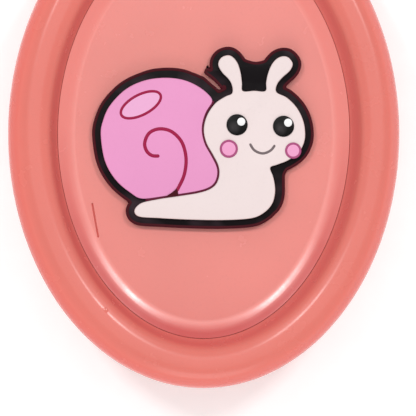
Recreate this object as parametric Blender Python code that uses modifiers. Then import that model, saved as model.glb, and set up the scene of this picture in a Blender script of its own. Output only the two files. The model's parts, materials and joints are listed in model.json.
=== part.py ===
"""Palm-size oval tape dispenser with a refill lid, a badge, a cutter and a swinging cutter cover.

Frame: origin under the middle of the case, on its flat back; +Z out of the decorated face,
+Y towards the mouth where the tape comes out. Lengths below are in millimetres and each
builder scales them to metres. Sections of the case are lists of (inset, height) points: inset
is the distance inwards from the oval outline.
"""

import math

import bmesh
import bpy
from mathutils import Matrix, Vector

MM = 0.001
GAP = 0.3
RUNNING_GAP = 0.1

# Case outline and heights
HALF_WIDTH = 30.0
HALF_LENGTH = 39.0
CASE_HEIGHT = 22.0
PARTING_Z = 11.0
WALL = 1.8
OVAL_STEPS = 48
BACK_ROUND = 3.0
FLOOR_Z = 1.8
FLOOR_CORNER = 1.5
LIP_WIDTH = 0.8
LIP_HEIGHT = 1.0

# Rim of the face, the seam round the lid, and the lid
RIM_SHOULDER_Z = 17.8
RIM_CREST_INSET = 3.2
SEAM_INSET = 7.6
RIM_DOWN = ((3.8, 22.0), (4.6, 21.85), (5.3, 21.4), (5.9, 20.8), (7.3, 18.95), (7.6, 18.75))
RIM_UNDERSIDE = ((5.6, 18.6), (4.3, 20.1), (3.2, 20.2), (2.2, 19.2))
LEDGE_ROOT_INSET = 7.2
LEDGE_TOP_Z = 17.0
LEDGE_WIDTH = 1.3
LEDGE_THICKNESS = 1.1
PANEL_Z = 17.9
PANEL_THICKNESS = 1.4
LID_RISE = ((10.3, 17.9), (9.8, 17.96), (9.3, 18.12), (8.7, 18.38), (8.15, 18.6))
LID_EDGE_TOP_Z = 18.5
LID_UNDERSIDE_INSET = 9.4
TONGUE_X = (3.5, 6.5)
TONGUE_Y = (-28.4, -27.4)
TONGUE_BOTTOM_Z = 14.6

# Lid hinge, across the case near its mouth end
HINGE_Y = 33.2
HINGE_Z = 20.0
KNUCKLE_RADIUS = 1.6
LUG_RADIUS = 1.7
HINGE_PIN_RADIUS = 0.8
HINGE_PIN_END = 8.2
HINGE_HALF_GAP = 5.4
HINGE_LUG_END = 8.8
HINGE_FLOOR = ((-7.2, 31.0, 16.5), (7.2, 36.6, 18.4))
HINGE_WELL_START_Y = 30.0
KNUCKLE_ROOT = (29.6, 17.45, 19.4)

# Tape and spool
SPOOL_Y = -6.5
TAPE_WIDTH = 12.0
TAPE_BOTTOM_Z = 3.6
TAPE_RADIUS = 18.0
CORE_RADIUS = 14.0
CORE_BORE = 12.7
TAPE_THICKNESS = 0.2
POST_RADIUS = 4.0
POST_TOP_Z = 13.8
HUB_RADIUS = 12.4
HUB_INNER_RADIUS = 11.0
HUB_TOP_Z = 13.0
HUB_WEB_TOP_Z = 4.6
HUB_SLEEVE_RADIUS = 5.6
HUB_SLOT_RADIUS = 1.0
HUB_SLOT_PLACE = 11.8
HUB_SLOT_HALF_ANGLE = 18.0
FLANGE_RADIUS = 16.0
FLANGE_THICKNESS = 0.8
BRAKE_RADIUS = 7.0
BRAKE_BOTTOM_Z = 2.0
WASHER_RADIUS = 6.2
WASHER_BORE = 1.3
WASHER_THICKNESS = 0.5

# Guide roller, nose and cutter
ROLLER_X = 9.0
ROLLER_Y = 25.0
ROLLER_RADIUS = 2.5
ROLLER_BOTTOM_Z = 3.3
ROLLER_TOP_Z = 15.3
ROLLER_GROOVES = (12.3, 6.3)
ROLLER_GROOVE_DEPTH = 0.4
ROLLER_CHAMFER = 0.3
ROLLER_SEAT_TOP_Z = 3.0
ROLLER_PIN_RADIUS = 1.0
ROLLER_PIN_BOTTOM_Z = 1.2
ROLLER_PIN_HEAD = ((0.0, 16.1), (1.5, 16.1), (1.7, 15.9), (1.7, 15.6))
TAPE_CLEARANCE = 0.15
TAPE_END_X = 0.95
TAPE_END_Y = 40.3
NOSE_FRONT = ((0.8, 39.95), (-0.5, 39.95), (-1.8, 39.4))
NOSE_SIDE_Y = (38.5, 34.6)
NOSE_BACK = (1.4, 33.4)
REST_LENGTH = 10.6
REST_END = 0.9
RIB_RADIUS = 0.22
BLADE_X = 0.3
BLADE_THICKNESS = 0.4
BLADE_ROOT_Y = 36.2
BLADE_GULLET_Y = 40.3
BLADE_TIP_Y = 41.1
BLADE_TEETH = 12
BLADE_BOTTOM_Z = 3.8
BLADE_TOP_Z = 15.6
MOUTH_LEFT = -6.5
MOUTH_RIGHT = 9.3
MOUTH_BOTTOM_Z = 3.2
MOUTH_TOP_Z = 16.2

# Cover that swings away from the cutter, on an upright pin
COVER_PIVOT_X = -9.5
COVER_PIVOT_Y = 39.2
COVER_CLEAR = 2.7
COVER_WALL = 1.2
COVER_BOTTOM_Z = 2.7
COVER_TOP_Z = 16.7
COVER_END_X = 12.0
COVER_SIDE_X = -6.5
COVER_INNER_INSET = -0.35
COVER_CHEEK = 0.7
COVER_ROUND = 0.6
COVER_KNUCKLE_SHIFT = 2.2
COVER_END_WALL = 1.2
COVER_TAB_Z = (7.2, 12.2)
COVER_PIN_RADIUS = 0.8
COVER_LUG_HEIGHT = 1.9
COVER_LUG_ROOF = 0.6
COVER_PIN_SHIFT = 0.9

# Case screws
SCREW_INSET = 5.1
SCREW_ANGLES = (35.0, 145.0, 235.0, 305.0)
BOSS_RADIUS = 2.3
BOSS_TOP_Z = 18.4
SCREW_RADIUS = 1.0
SCREW_HOLE_RADIUS = 1.25
SCREW_HEAD_RADIUS = 2.0
SCREW_HEAD_BOTTOM_Z = 0.7
SCREW_HEAD_HEIGHT = 1.4
SCREW_RECESS_RADIUS = 2.25
SCREW_RECESS_TOP_Z = 2.4
SCREW_TOP_Z = 16.0
SCREW_HOLE_TOP_Z = 16.8
SCREW_TIP = 1.2
CROSS_HALF_WIDTH = 0.22
CROSS_DEPTH = 0.7
CROSS_REACH = 0.55
HEAD_ROUND = 0.4
HUB_SCREW_HEAD_RADIUS = 2.4
HUB_SCREW_HEAD_BOTTOM_Z = 14.75
HUB_SCREW_HEAD_HEIGHT = 1.3
HUB_SCREW_END_Z = 7.0
HUB_SCREW_HOLE_BOTTOM_Z = 5.0

# Badge: a snail in soft plastic, glued to the lid
BADGE_BOTTOM_Z = PANEL_Z + 0.2
BADGE_BASE_TOP_Z = BADGE_BOTTOM_Z + 1.2
INLAY_BOTTOM_Z = BADGE_BASE_TOP_Z + 0.1
INLAY_TOP_Z = INLAY_BOTTOM_Z + 0.8
FACE_BOTTOM_Z = INLAY_TOP_Z + 0.1
FACE_TOP_Z = FACE_BOTTOM_Z + 0.25
BADGE_BORDER = 0.95
SNAIL_SHELL = (-6.7, -0.6, 9.35)
SNAIL_HEAD = (7.9, 0.0, 7.6)
SNAIL_EYES = ((5.1, 1.35), (12.2, 1.1))
EYE_RADIUS = 1.6
GLINT_RADIUS = 0.6
GLINT_SHIFT = (0.65, 0.5)
SNAIL_CHEEKS = ((3.8, -2.4), (13.75, -2.55))
CHEEK_RADIUS = 1.2
ANTENNA_FEET = ((5.1, 5.6), (10.3, 5.6))
ANTENNA_TIPS = ((3.9, 10.8), (12.15, 10.7))
ANTENNA_RADIUS = 0.85
ANTENNA_TIP_RADIUS = 1.45
SNAIL_NECK = ((7.6, -3.0), 4.6, (5.6, -8.6), 4.2)
SNAIL_FOOT = ((6.6, -10.0), 3.1, (-9.4, -12.1), 0.9)
INLAY_SEAM = 0.3

CORAL = (0.80, 0.22, 0.18)
WHITE_PLASTIC = (0.82, 0.80, 0.76)
STEEL = (0.62, 0.62, 0.64)
CARD = (0.62, 0.47, 0.32)
TAPE_TINT = (0.86, 0.84, 0.74)
INK = (0.02, 0.012, 0.016)
PINK = (0.86, 0.35, 0.60)
CREAM = (0.91, 0.78, 0.76)
BLUSH = (0.90, 0.22, 0.36)
PURE_WHITE = (0.95, 0.95, 0.95)


def clear_scene():
    for item in list(bpy.data.objects):
        bpy.data.objects.remove(item)


def make_collection(name):
    collection = bpy.data.collections.new(name)
    bpy.context.scene.collection.children.link(collection)
    return collection


def make_material(name, colour, roughness, metallic=0.0):
    material = bpy.data.materials.new(name)
    material.use_nodes = True
    shader = material.node_tree.nodes["Principled BSDF"]
    shader.inputs["Base Color"].default_value = (*colour, 1.0)
    shader.inputs["Roughness"].default_value = roughness
    shader.inputs["Metallic"].default_value = metallic
    return material


def finish_mesh(bm, name, smooth=True):
    """The bmesh as a new mesh, scaled to metres, normals out, creases over 40 degrees kept."""
    bmesh.ops.recalc_face_normals(bm, faces=bm.faces)
    bmesh.ops.scale(bm, vec=(MM, MM, MM), verts=bm.verts)
    mesh = bpy.data.meshes.new(name)
    bm.to_mesh(mesh)
    bm.free()
    if smooth:
        mesh.shade_smooth()
        mesh.set_sharp_from_angle(angle=math.radians(40.0))
    return mesh


def add_part(mesh, name, material, place=(0.0, 0.0, 0.0)):
    part = bpy.data.objects.new(name, mesh)
    part.data.materials.append(material)
    part.location = Vector(place) * MM
    PARTS.objects.link(part)
    return part


def add_tool(mesh, name):
    """A hidden solid that cuts or thickens a part."""
    tool = bpy.data.objects.new(name, mesh)
    tool.hide_render = True
    tool.display_type = "WIRE"
    CUTTERS.objects.link(tool)
    return tool


def apply_tool(part, mesh, operation):
    count = len(part.modifiers)
    tool = add_tool(mesh, f"{part.name}_tool_{count:02d}")
    modifier = part.modifiers.new(f"{operation.lower()}_{count:02d}", "BOOLEAN")
    modifier.operation = operation
    modifier.solver = "EXACT"
    modifier.object = tool


def join(part, mesh):
    apply_tool(part, mesh, "UNION")


def cut(part, mesh):
    apply_tool(part, mesh, "DIFFERENCE")


def add_pivot(name, place):
    """An empty on a joint's axis, which the pieces that move about it hang on."""
    pivot = bpy.data.objects.new(name, None)
    pivot.location = Vector(place) * MM
    PARTS.objects.link(pivot)
    return pivot


def hang(part, pivot):
    part.location = part.location - pivot.location
    part.parent = pivot


# Solids


def box_mesh(low, high):
    low, high = Vector(low), Vector(high)
    bm = bmesh.new()
    bmesh.ops.create_cube(bm, size=1.0)
    bmesh.ops.scale(bm, vec=high - low, verts=bm.verts)
    bmesh.ops.translate(bm, vec=(low + high) / 2.0, verts=bm.verts)
    return finish_mesh(bm, "box", smooth=False)


def cylinder_mesh(radius, start, end, centre=(0.0, 0.0), axis="Z", steps=32):
    """A cylinder from start to end along its axis; centre is (x, y) for Z and (y, z) for X."""
    bm = bmesh.new()
    bmesh.ops.create_cone(
        bm, cap_ends=True, segments=steps, radius1=radius, radius2=radius, depth=end - start
    )
    bmesh.ops.translate(bm, vec=(0.0, 0.0, (start + end) / 2.0), verts=bm.verts)
    if axis == "X":
        turn = Matrix.Rotation(math.radians(90.0), 3, "Y")
        bmesh.ops.rotate(bm, cent=(0.0, 0.0, 0.0), matrix=turn, verts=bm.verts)
        bmesh.ops.translate(bm, vec=(0.0, centre[0], centre[1]), verts=bm.verts)
    else:
        bmesh.ops.translate(bm, vec=(centre[0], centre[1], 0.0), verts=bm.verts)
    return finish_mesh(bm, "cylinder")


def outline_mesh(points, bottom, top):
    """A flat outline of (x, y) points raised to a solid."""
    bm = bmesh.new()
    corners = [bm.verts.new((x, y, bottom)) for x, y in points]
    face = bm.faces.new(corners)
    raised = bmesh.ops.extrude_face_region(bm, geom=[face])["geom"]
    tops = [item for item in raised if isinstance(item, bmesh.types.BMVert)]
    bmesh.ops.translate(bm, vec=(0.0, 0.0, top - bottom), verts=tops)
    return finish_mesh(bm, "outline")


def circle_points(centre, radius, steps):
    points = []
    for step in range(steps):
        angle = math.radians(360.0 * step / steps)
        x = centre[0] + radius * math.cos(angle)
        y = centre[1] + radius * math.sin(angle)
        points.append((x, y))
    return points


def arc_points(centre, radius, start, end, steps):
    points = []
    for step in range(steps + 1):
        angle = start + (end - start) * step / steps
        x = centre[0] + radius * math.cos(angle)
        y = centre[1] + radius * math.sin(angle)
        points.append((x, y))
    return points


def link_mesh(first, first_radius, second, second_radius, bottom, top, steps=24):
    """A rounded bar round two discs, tapered where the discs differ."""
    across = Vector(second) - Vector(first)
    facing = math.atan2(across.y, across.x)
    side = math.acos((first_radius - second_radius) / across.length)
    points = arc_points(second, second_radius, facing - side, facing + side, steps // 2)
    back = 2.0 * math.pi - side
    points += arc_points(first, first_radius, facing + side, facing + back, steps // 2)
    return outline_mesh(points, bottom, top)


def turned_part(name, profile, material, place=(0.0, 0.0, 0.0), steps=48):
    """A closed (radius, height) profile turned about Z; it runs down its outer side."""
    mesh = bpy.data.meshes.new(name)
    points = [(radius * MM, 0.0, height * MM) for radius, height in profile]
    count = len(points)
    on_axis = profile[0][0] == 0.0
    last = count - 1 if on_axis else count
    mesh.from_pydata(points, [(i, (i + 1) % count) for i in range(last)], [])
    part = add_part(mesh, name, material, place)
    screw = part.modifiers.new("turn", "SCREW")
    screw.axis = "Z"
    screw.angle = math.radians(360.0)
    screw.steps = steps
    screw.render_steps = steps
    screw.use_merge_vertices = True
    screw.merge_threshold = 0.00001
    screw.use_smooth_shade = True
    return part


# The oval case


def oval_point(angle, inset):
    """The point of the outline at this angle, moved inwards along the outline's normal."""
    c, s = math.cos(angle), math.sin(angle)
    normal = Vector((c / HALF_WIDTH, s / HALF_LENGTH)).normalized()
    return HALF_WIDTH * c - normal.x * inset, HALF_LENGTH * s - normal.y * inset


def oval_angle(x):
    """The angle at which the upper half of the outline stands at x."""
    return math.acos(x / HALF_WIDTH)


def arc(start, end, bulge_height_first, steps=4):
    """Points of a quarter of an ellipse between two section points, without the first.

    It leaves start upright and lies flat at end when bulge_height_first, or the reverse.
    """
    points = []
    for step in range(1, steps + 1):
        angle = math.radians(90.0 * step / steps)
        if bulge_height_first:
            across, along = 1.0 - math.cos(angle), math.sin(angle)
        else:
            across, along = math.sin(angle), 1.0 - math.cos(angle)
        inset = start[0] + (end[0] - start[0]) * across
        height = start[1] + (end[1] - start[1]) * along
        points.append((inset, height))
    return points


def oval_ring(bm, inset, height, angles):
    ring = []
    for angle in angles:
        x, y = oval_point(angle, inset)
        ring.append(bm.verts.new((x, y, height)))
    return ring


def oval_mesh(section, name, capped):
    """A section swept round the whole oval: a ring if not capped, else closed by flat ends."""
    angles = [2.0 * math.pi * step / OVAL_STEPS for step in range(OVAL_STEPS)]
    bm = bmesh.new()
    rings = [oval_ring(bm, inset, height, angles) for inset, height in section]
    pairs = list(zip(rings, rings[1:]))
    if not capped:
        pairs.append((rings[-1], rings[0]))
    for lower, upper in pairs:
        for step in range(OVAL_STEPS):
            after = (step + 1) % OVAL_STEPS
            bm.faces.new((lower[step], lower[after], upper[after], upper[step]))
    if capped:
        bm.faces.new(rings[0])
        bm.faces.new(rings[-1])
    return finish_mesh(bm, name)


def oval_sector_mesh(section, from_x, to_x, steps):
    """A closed section swept along the mouth end of the outline, from one x to another."""
    first, last = oval_angle(from_x), oval_angle(to_x)
    angles = [first + (last - first) * step / steps for step in range(steps + 1)]
    bm = bmesh.new()
    rings = [oval_ring(bm, inset, height, angles) for inset, height in section]
    count = len(rings)
    for index in range(count):
        here, there = rings[index], rings[(index + 1) % count]
        for step in range(steps):
            bm.faces.new((here[step], here[step + 1], there[step + 1], there[step]))
    bm.faces.new([ring[0] for ring in rings])
    bm.faces.new([ring[-1] for ring in rings])
    return finish_mesh(bm, "sector")


def screw_places():
    return [oval_point(math.radians(angle), SCREW_INSET) for angle in SCREW_ANGLES]


def cover_lug_mesh(bottom, top):
    """The ear on the case that holds one end of the cover pin."""
    pivot = (COVER_PIVOT_X, COVER_PIVOT_Y)
    root = (COVER_PIVOT_X + 0.3, COVER_PIVOT_Y - 2.6)
    root_radius = LUG_RADIUS - 0.9
    return link_mesh(pivot, LUG_RADIUS, root, root_radius, bottom, top)


def mouth_mesh():
    low = (MOUTH_LEFT, 34.0, MOUTH_BOTTOM_Z)
    high = (MOUTH_RIGHT, HALF_LENGTH + 2.0, MOUTH_TOP_Z)
    return box_mesh(low, high)


def build_back_shell():
    parting = PARTING_Z - GAP / 2.0
    lip_inset = WALL - LIP_WIDTH
    section = [(BACK_ROUND, 0.0)]
    section += arc((BACK_ROUND, 0.0), (0.0, BACK_ROUND), False)
    section += [(0.0, parting - GAP), (GAP, parting), (lip_inset, parting)]
    section += [(lip_inset, PARTING_Z + LIP_HEIGHT), (WALL, PARTING_Z + LIP_HEIGHT)]
    section += [(WALL, FLOOR_Z + FLOOR_CORNER)]
    section += arc((WALL, FLOOR_Z + FLOOR_CORNER), (BACK_ROUND, FLOOR_Z), True, 3)
    shell = add_part(oval_mesh(section, "back_shell", True), "back_shell", CORAL_ABS)
    inside = FLOOR_Z - 0.5
    for place in screw_places():
        join(shell, cylinder_mesh(BOSS_RADIUS, inside, parting, place, steps=20))
    join(shell, cylinder_mesh(POST_RADIUS, inside, POST_TOP_Z, (0.0, SPOOL_Y), steps=48))
    roller_place = (ROLLER_X, ROLLER_Y)
    join(shell, cylinder_mesh(ROLLER_RADIUS, inside, ROLLER_SEAT_TOP_Z, roller_place, steps=24))
    join(shell, cover_lug_mesh(COVER_BOTTOM_Z, COVER_BOTTOM_Z + COVER_LUG_HEIGHT))
    cut(shell, mouth_mesh())
    for place in screw_places():
        cut(shell, cylinder_mesh(SCREW_HOLE_RADIUS, -1.0, parting + 1.0, place, steps=16))
        cut(shell, cylinder_mesh(SCREW_RECESS_RADIUS, -1.0, SCREW_RECESS_TOP_Z, place, steps=20))
    hub_place = (0.0, SPOOL_Y)
    hole_bottom = HUB_SCREW_HOLE_BOTTOM_Z
    cut(shell, cylinder_mesh(SCREW_HOLE_RADIUS, hole_bottom, POST_TOP_Z + 1.0, hub_place, steps=24))
    pin_hole = ROLLER_PIN_RADIUS + RUNNING_GAP
    pin_hole_bottom = ROLLER_PIN_BOTTOM_Z - GAP
    cut(shell, cylinder_mesh(pin_hole, pin_hole_bottom, ROLLER_SEAT_TOP_Z + 1.0, roller_place, steps=24))
    pivot = (COVER_PIVOT_X, COVER_PIVOT_Y)
    cover_hole = COVER_PIN_RADIUS + RUNNING_GAP
    lug_top = COVER_BOTTOM_Z + COVER_LUG_HEIGHT
    cut(shell, cylinder_mesh(cover_hole, COVER_BOTTOM_Z + COVER_LUG_ROOF, lug_top + 1.0, pivot, steps=20))
    return shell


def rim_section():
    parting = PARTING_Z + GAP / 2.0
    lip_top = PARTING_Z + LIP_HEIGHT + GAP
    lip_inset = WALL - LIP_WIDTH - GAP
    ledge_end = SEAM_INSET + LEDGE_WIDTH
    ledge_bottom = LEDGE_TOP_Z - LEDGE_THICKNESS
    section = [(GAP, parting), (0.0, parting + GAP), (0.0, RIM_SHOULDER_Z)]
    section += arc((0.0, RIM_SHOULDER_Z), (RIM_CREST_INSET, CASE_HEIGHT), True, 5)
    section += RIM_DOWN
    section += [(SEAM_INSET, LEDGE_TOP_Z), (ledge_end, LEDGE_TOP_Z), (ledge_end, ledge_bottom)]
    section += [(LEDGE_ROOT_INSET, ledge_bottom)]
    section += RIM_UNDERSIDE
    section += [(WALL, RIM_SHOULDER_Z), (WALL, lip_top), (lip_inset, lip_top)]
    section += [(lip_inset, parting)]
    return section


def build_front_shell():
    shell = add_part(oval_mesh(rim_section(), "front_shell", False), "front_shell", CORAL_ABS)
    parting = PARTING_Z + GAP / 2.0
    hinge = (HINGE_Y, HINGE_Z)
    for place in screw_places():
        join(shell, cylinder_mesh(BOSS_RADIUS, parting, BOSS_TOP_Z, place, steps=20))
    join(shell, box_mesh(*HINGE_FLOOR))
    for side in (-1.0, 1.0):
        ends = sorted((side * HINGE_HALF_GAP, side * HINGE_LUG_END))
        join(shell, cylinder_mesh(LUG_RADIUS, ends[0], ends[1], hinge, "X", 24))
    join(shell, cover_lug_mesh(COVER_TOP_Z - COVER_LUG_HEIGHT, COVER_TOP_Z))
    cut(shell, mouth_mesh())
    well_low = (-HINGE_HALF_GAP, HINGE_WELL_START_Y, LEDGE_TOP_Z + GAP)
    well_high = (HINGE_HALF_GAP, HINGE_Y + 2.0, CASE_HEIGHT + 1.0)
    cut(shell, box_mesh(well_low, well_high))
    pin_hole = HINGE_PIN_RADIUS + RUNNING_GAP
    hole_end = HINGE_PIN_END + GAP
    cut(shell, cylinder_mesh(pin_hole, -hole_end, hole_end, hinge, "X", 20))
    for place in screw_places():
        cut(shell, cylinder_mesh(SCREW_HOLE_RADIUS, parting - 1.0, SCREW_HOLE_TOP_Z, place, steps=16))
    pivot = (COVER_PIVOT_X, COVER_PIVOT_Y)
    cover_hole = COVER_PIN_RADIUS + RUNNING_GAP
    lug_bottom = COVER_TOP_Z - COVER_LUG_HEIGHT
    cut(shell, cylinder_mesh(cover_hole, lug_bottom - 1.0, COVER_TOP_Z - COVER_LUG_ROOF, pivot, steps=20))
    return shell


def screw_part(name, place, head_bottom, head_height, head_radius, shank_end):
    """A cross-head screw; shank_end above the head points it up, below points it down."""
    head_top = head_bottom + head_height
    upwards = shank_end > head_top
    if upwards:
        profile = [(0.0, shank_end), (SCREW_RADIUS / 2.0, shank_end - 0.2)]
        profile += [(SCREW_RADIUS, shank_end - SCREW_TIP), (SCREW_RADIUS, head_top)]
        profile += [(head_radius, head_top), (head_radius, head_bottom + HEAD_ROUND)]
        profile += [(head_radius * 0.8, head_bottom), (0.0, head_bottom)]
        slot_low, slot_high = head_bottom - 0.5, head_bottom + CROSS_DEPTH
    else:
        profile = [(0.0, head_top), (head_radius * 0.8, head_top)]
        profile += [(head_radius, head_top - HEAD_ROUND), (head_radius, head_bottom)]
        profile += [(SCREW_RADIUS, head_bottom), (SCREW_RADIUS, shank_end + SCREW_TIP)]
        profile += [(SCREW_RADIUS / 2.0, shank_end + 0.2), (0.0, shank_end)]
        slot_low, slot_high = head_top - CROSS_DEPTH, head_top + 0.5
    part = turned_part(name, profile, ZINC_STEEL, (place[0], place[1], 0.0), 16)
    arm, half = head_radius * CROSS_REACH, CROSS_HALF_WIDTH
    for long_x, long_y in ((arm, half), (half, arm)):
        low = (place[0] - long_x, place[1] - long_y, slot_low)
        high = (place[0] + long_x, place[1] + long_y, slot_high)
        cut(part, box_mesh(low, high))
    return part


def build_screws():
    for index, place in enumerate(screw_places(), 1):
        name = f"case_screw_{index}"
        bottom, height = SCREW_HEAD_BOTTOM_Z, SCREW_HEAD_HEIGHT
        screw_part(name, place, bottom, height, SCREW_HEAD_RADIUS, SCREW_TOP_Z)
    bottom, height = HUB_SCREW_HEAD_BOTTOM_Z, HUB_SCREW_HEAD_HEIGHT
    place = (0.0, SPOOL_Y)
    screw_part("hub_screw", place, bottom, height, HUB_SCREW_HEAD_RADIUS, HUB_SCREW_END_Z)


def build_spool():
    place = (0.0, SPOOL_Y, 0.0)
    bore = POST_RADIUS + RUNNING_GAP
    flange_top = TAPE_BOTTOM_Z - GAP
    flange_bottom = flange_top - FLANGE_THICKNESS
    hub_profile = [(bore, POST_TOP_Z), (HUB_SLEEVE_RADIUS, POST_TOP_Z)]
    hub_profile += [(HUB_SLEEVE_RADIUS, HUB_WEB_TOP_Z), (HUB_INNER_RADIUS, HUB_WEB_TOP_Z)]
    hub_profile += [(HUB_INNER_RADIUS, HUB_TOP_Z), (HUB_RADIUS - 0.4, HUB_TOP_Z)]
    hub_profile += [(HUB_RADIUS, HUB_TOP_Z - 0.5)]
    hub_profile += [(HUB_RADIUS, flange_top), (FLANGE_RADIUS, flange_top)]
    hub_profile += [(FLANGE_RADIUS, flange_bottom), (bore, flange_bottom)]
    hub = turned_part("spool_hub", hub_profile, WHITE_ABS, place, 40)
    for finger in range(3):
        for side in (-1.0, 1.0):
            middle = math.radians(90.0 + 120.0 * finger + side * HUB_SLOT_HALF_ANGLE)
            centre = Vector((math.cos(middle), math.sin(middle))) * HUB_SLOT_PLACE
            slot = circle_points((centre.x, centre.y + SPOOL_Y), HUB_SLOT_RADIUS, 12)
            cut(hub, outline_mesh(slot, HUB_TOP_Z / 2.0 - 0.5, HUB_TOP_Z + 1.0))
    top = TAPE_BOTTOM_Z + TAPE_WIDTH
    core_profile = [(CORE_BORE, top), (CORE_RADIUS, top)]
    core_profile += [(CORE_RADIUS, TAPE_BOTTOM_Z), (CORE_BORE, TAPE_BOTTOM_Z)]
    core = turned_part("tape_core", core_profile, CARDBOARD, place, 48)
    inner = CORE_RADIUS + 0.1
    roll_profile = [(inner, top), (TAPE_RADIUS, top), (TAPE_RADIUS, TAPE_BOTTOM_Z)]
    roll_profile += [(inner, TAPE_BOTTOM_Z)]
    roll = turned_part("tape_roll", roll_profile, TAPE_FILM, place, 48)
    pivot = add_pivot("spool_axis", place)
    for part in (hub, core, roll):
        hang(part, pivot)
    brake_bore, brake_top = bore + 0.4, BRAKE_BOTTOM_Z + GAP
    brake_profile = [(brake_bore, brake_top), (BRAKE_RADIUS, brake_top)]
    brake_profile += [(BRAKE_RADIUS, BRAKE_BOTTOM_Z), (brake_bore, BRAKE_BOTTOM_Z)]
    turned_part("brake_washer", brake_profile, SPRING_STEEL, place, 32)
    washer_bottom = POST_TOP_Z + GAP
    washer_top = washer_bottom + WASHER_THICKNESS
    washer_profile = [(WASHER_BORE, washer_top), (WASHER_RADIUS, washer_top)]
    washer_profile += [(WASHER_RADIUS, washer_bottom), (WASHER_BORE, washer_bottom)]
    turned_part("hub_washer", washer_profile, SPRING_STEEL, place, 32)


def build_guide_roller():
    place = (ROLLER_X, ROLLER_Y, 0.0)
    bottom, top = ROLLER_BOTTOM_Z, ROLLER_TOP_Z
    edge = ROLLER_RADIUS - ROLLER_CHAMFER
    depth = ROLLER_GROOVE_DEPTH
    bore = ROLLER_PIN_RADIUS + RUNNING_GAP
    profile = [(bore, top), (edge, top), (ROLLER_RADIUS, top - ROLLER_CHAMFER)]
    for groove in ROLLER_GROOVES:
        profile += [(ROLLER_RADIUS, groove + depth), (ROLLER_RADIUS - depth, groove + depth / 2.0)]
        profile += [(ROLLER_RADIUS - depth, groove - depth / 2.0), (ROLLER_RADIUS, groove - depth)]
    profile += [(ROLLER_RADIUS, bottom + ROLLER_CHAMFER), (edge, bottom), (bore, bottom)]
    roller = turned_part("guide_roller", profile, WHITE_ABS, place, 24)
    hang(roller, add_pivot("roller_axis", place))
    pin_profile = list(ROLLER_PIN_HEAD)
    pin_profile += [(ROLLER_PIN_RADIUS, ROLLER_PIN_HEAD[-1][1])]
    pin_profile += [(ROLLER_PIN_RADIUS, ROLLER_PIN_BOTTOM_Z), (0.0, ROLLER_PIN_BOTTOM_Z)]
    turned_part("guide_pin", pin_profile, ZINC_STEEL, place, 20)


def tangent_angle(start, start_radius, end, end_radius):
    """Direction of the line that passes both discs on its left side, at these distances."""
    across = Vector(end) - Vector(start)
    base = math.atan2(across.y, across.x)
    return base + math.asin((start_radius - end_radius) / across.length)


def right_of(centre, angle, distance):
    return (
        centre[0] + math.sin(angle) * distance,
        centre[1] - math.cos(angle) * distance,
    )


def tape_path():
    """Middle line of the loose tape: off the roll, round the roller, out to the cutter."""
    spool, roller = (0.0, SPOOL_Y), (ROLLER_X, ROLLER_Y)
    clear = TAPE_CLEARANCE + TAPE_THICKNESS / 2.0
    off_roll = tangent_angle(spool, TAPE_RADIUS + clear, roller, ROLLER_RADIUS + clear)
    end = (TAPE_END_X, TAPE_END_Y)
    off_roller = tangent_angle(roller, ROLLER_RADIUS + clear, end, 0.0)
    points = []
    for step in range(4):
        turn = off_roll - math.radians(9.0 - 3.0 * step)
        points.append(right_of(spool, turn, TAPE_RADIUS + clear))
    for step in range(6):
        turn = off_roll + (off_roller - off_roll) * step / 5.0
        points.append(right_of(roller, turn, ROLLER_RADIUS + clear))
    points.append(end)
    return points


def build_tape_lead():
    bm = bmesh.new()
    top = TAPE_BOTTOM_Z + TAPE_WIDTH
    path = [bm.verts.new((x, y, TAPE_BOTTOM_Z)) for x, y in tape_path()]
    edges = [bm.edges.new(pair) for pair in zip(path, path[1:])]
    raised = bmesh.ops.extrude_edge_only(bm, edges=edges)["geom"]
    tops = [item for item in raised if isinstance(item, bmesh.types.BMVert)]
    bmesh.ops.translate(bm, vec=(0.0, 0.0, top - TAPE_BOTTOM_Z), verts=tops)
    lead = add_part(finish_mesh(bm, "tape_lead"), "tape_lead", TAPE_FILM)
    solidify = lead.modifiers.new("film", "SOLIDIFY")
    solidify.thickness = TAPE_THICKNESS * MM
    solidify.offset = 0.0


def build_nose():
    """The nose block: the rest that the tape end lies on, with a slot for the blade."""
    path = tape_path()
    before, tip = Vector(path[-2]), Vector(path[-1])
    along = (tip - before).normalized()
    inwards = Vector((-along.y, along.x)) * (TAPE_THICKNESS / 2.0 + TAPE_CLEARANCE)
    rest_start = tip - along * REST_LENGTH + inwards
    rest_end = tip - along * REST_END + inwards
    bottom, top = MOUTH_BOTTOM_Z + GAP, MOUTH_TOP_Z - GAP
    side_x = MOUTH_LEFT + GAP
    outline = [tuple(rest_start), tuple(rest_end)]
    outline += NOSE_FRONT
    outline += [(side_x, NOSE_SIDE_Y[0]), (side_x, NOSE_SIDE_Y[1]), NOSE_BACK]
    block = add_part(outline_mesh(outline, bottom, top), "nose_block", WHITE_ABS)
    half = BLADE_THICKNESS / 2.0 + RUNNING_GAP
    slot_low = (BLADE_X - half, BLADE_ROOT_Y - RUNNING_GAP, bottom - 1.0)
    slot_high = (BLADE_X + half, 42.0, top + 1.0)
    cut(block, box_mesh(slot_low, slot_high))
    for rib in range(5):
        middle = rest_start + (rest_end - rest_start) * (0.2 + 0.15 * rib)
        ring = circle_points(middle, RIB_RADIUS, 8)
        cut(block, outline_mesh(ring, bottom - 1.0, top + 1.0))


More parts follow.
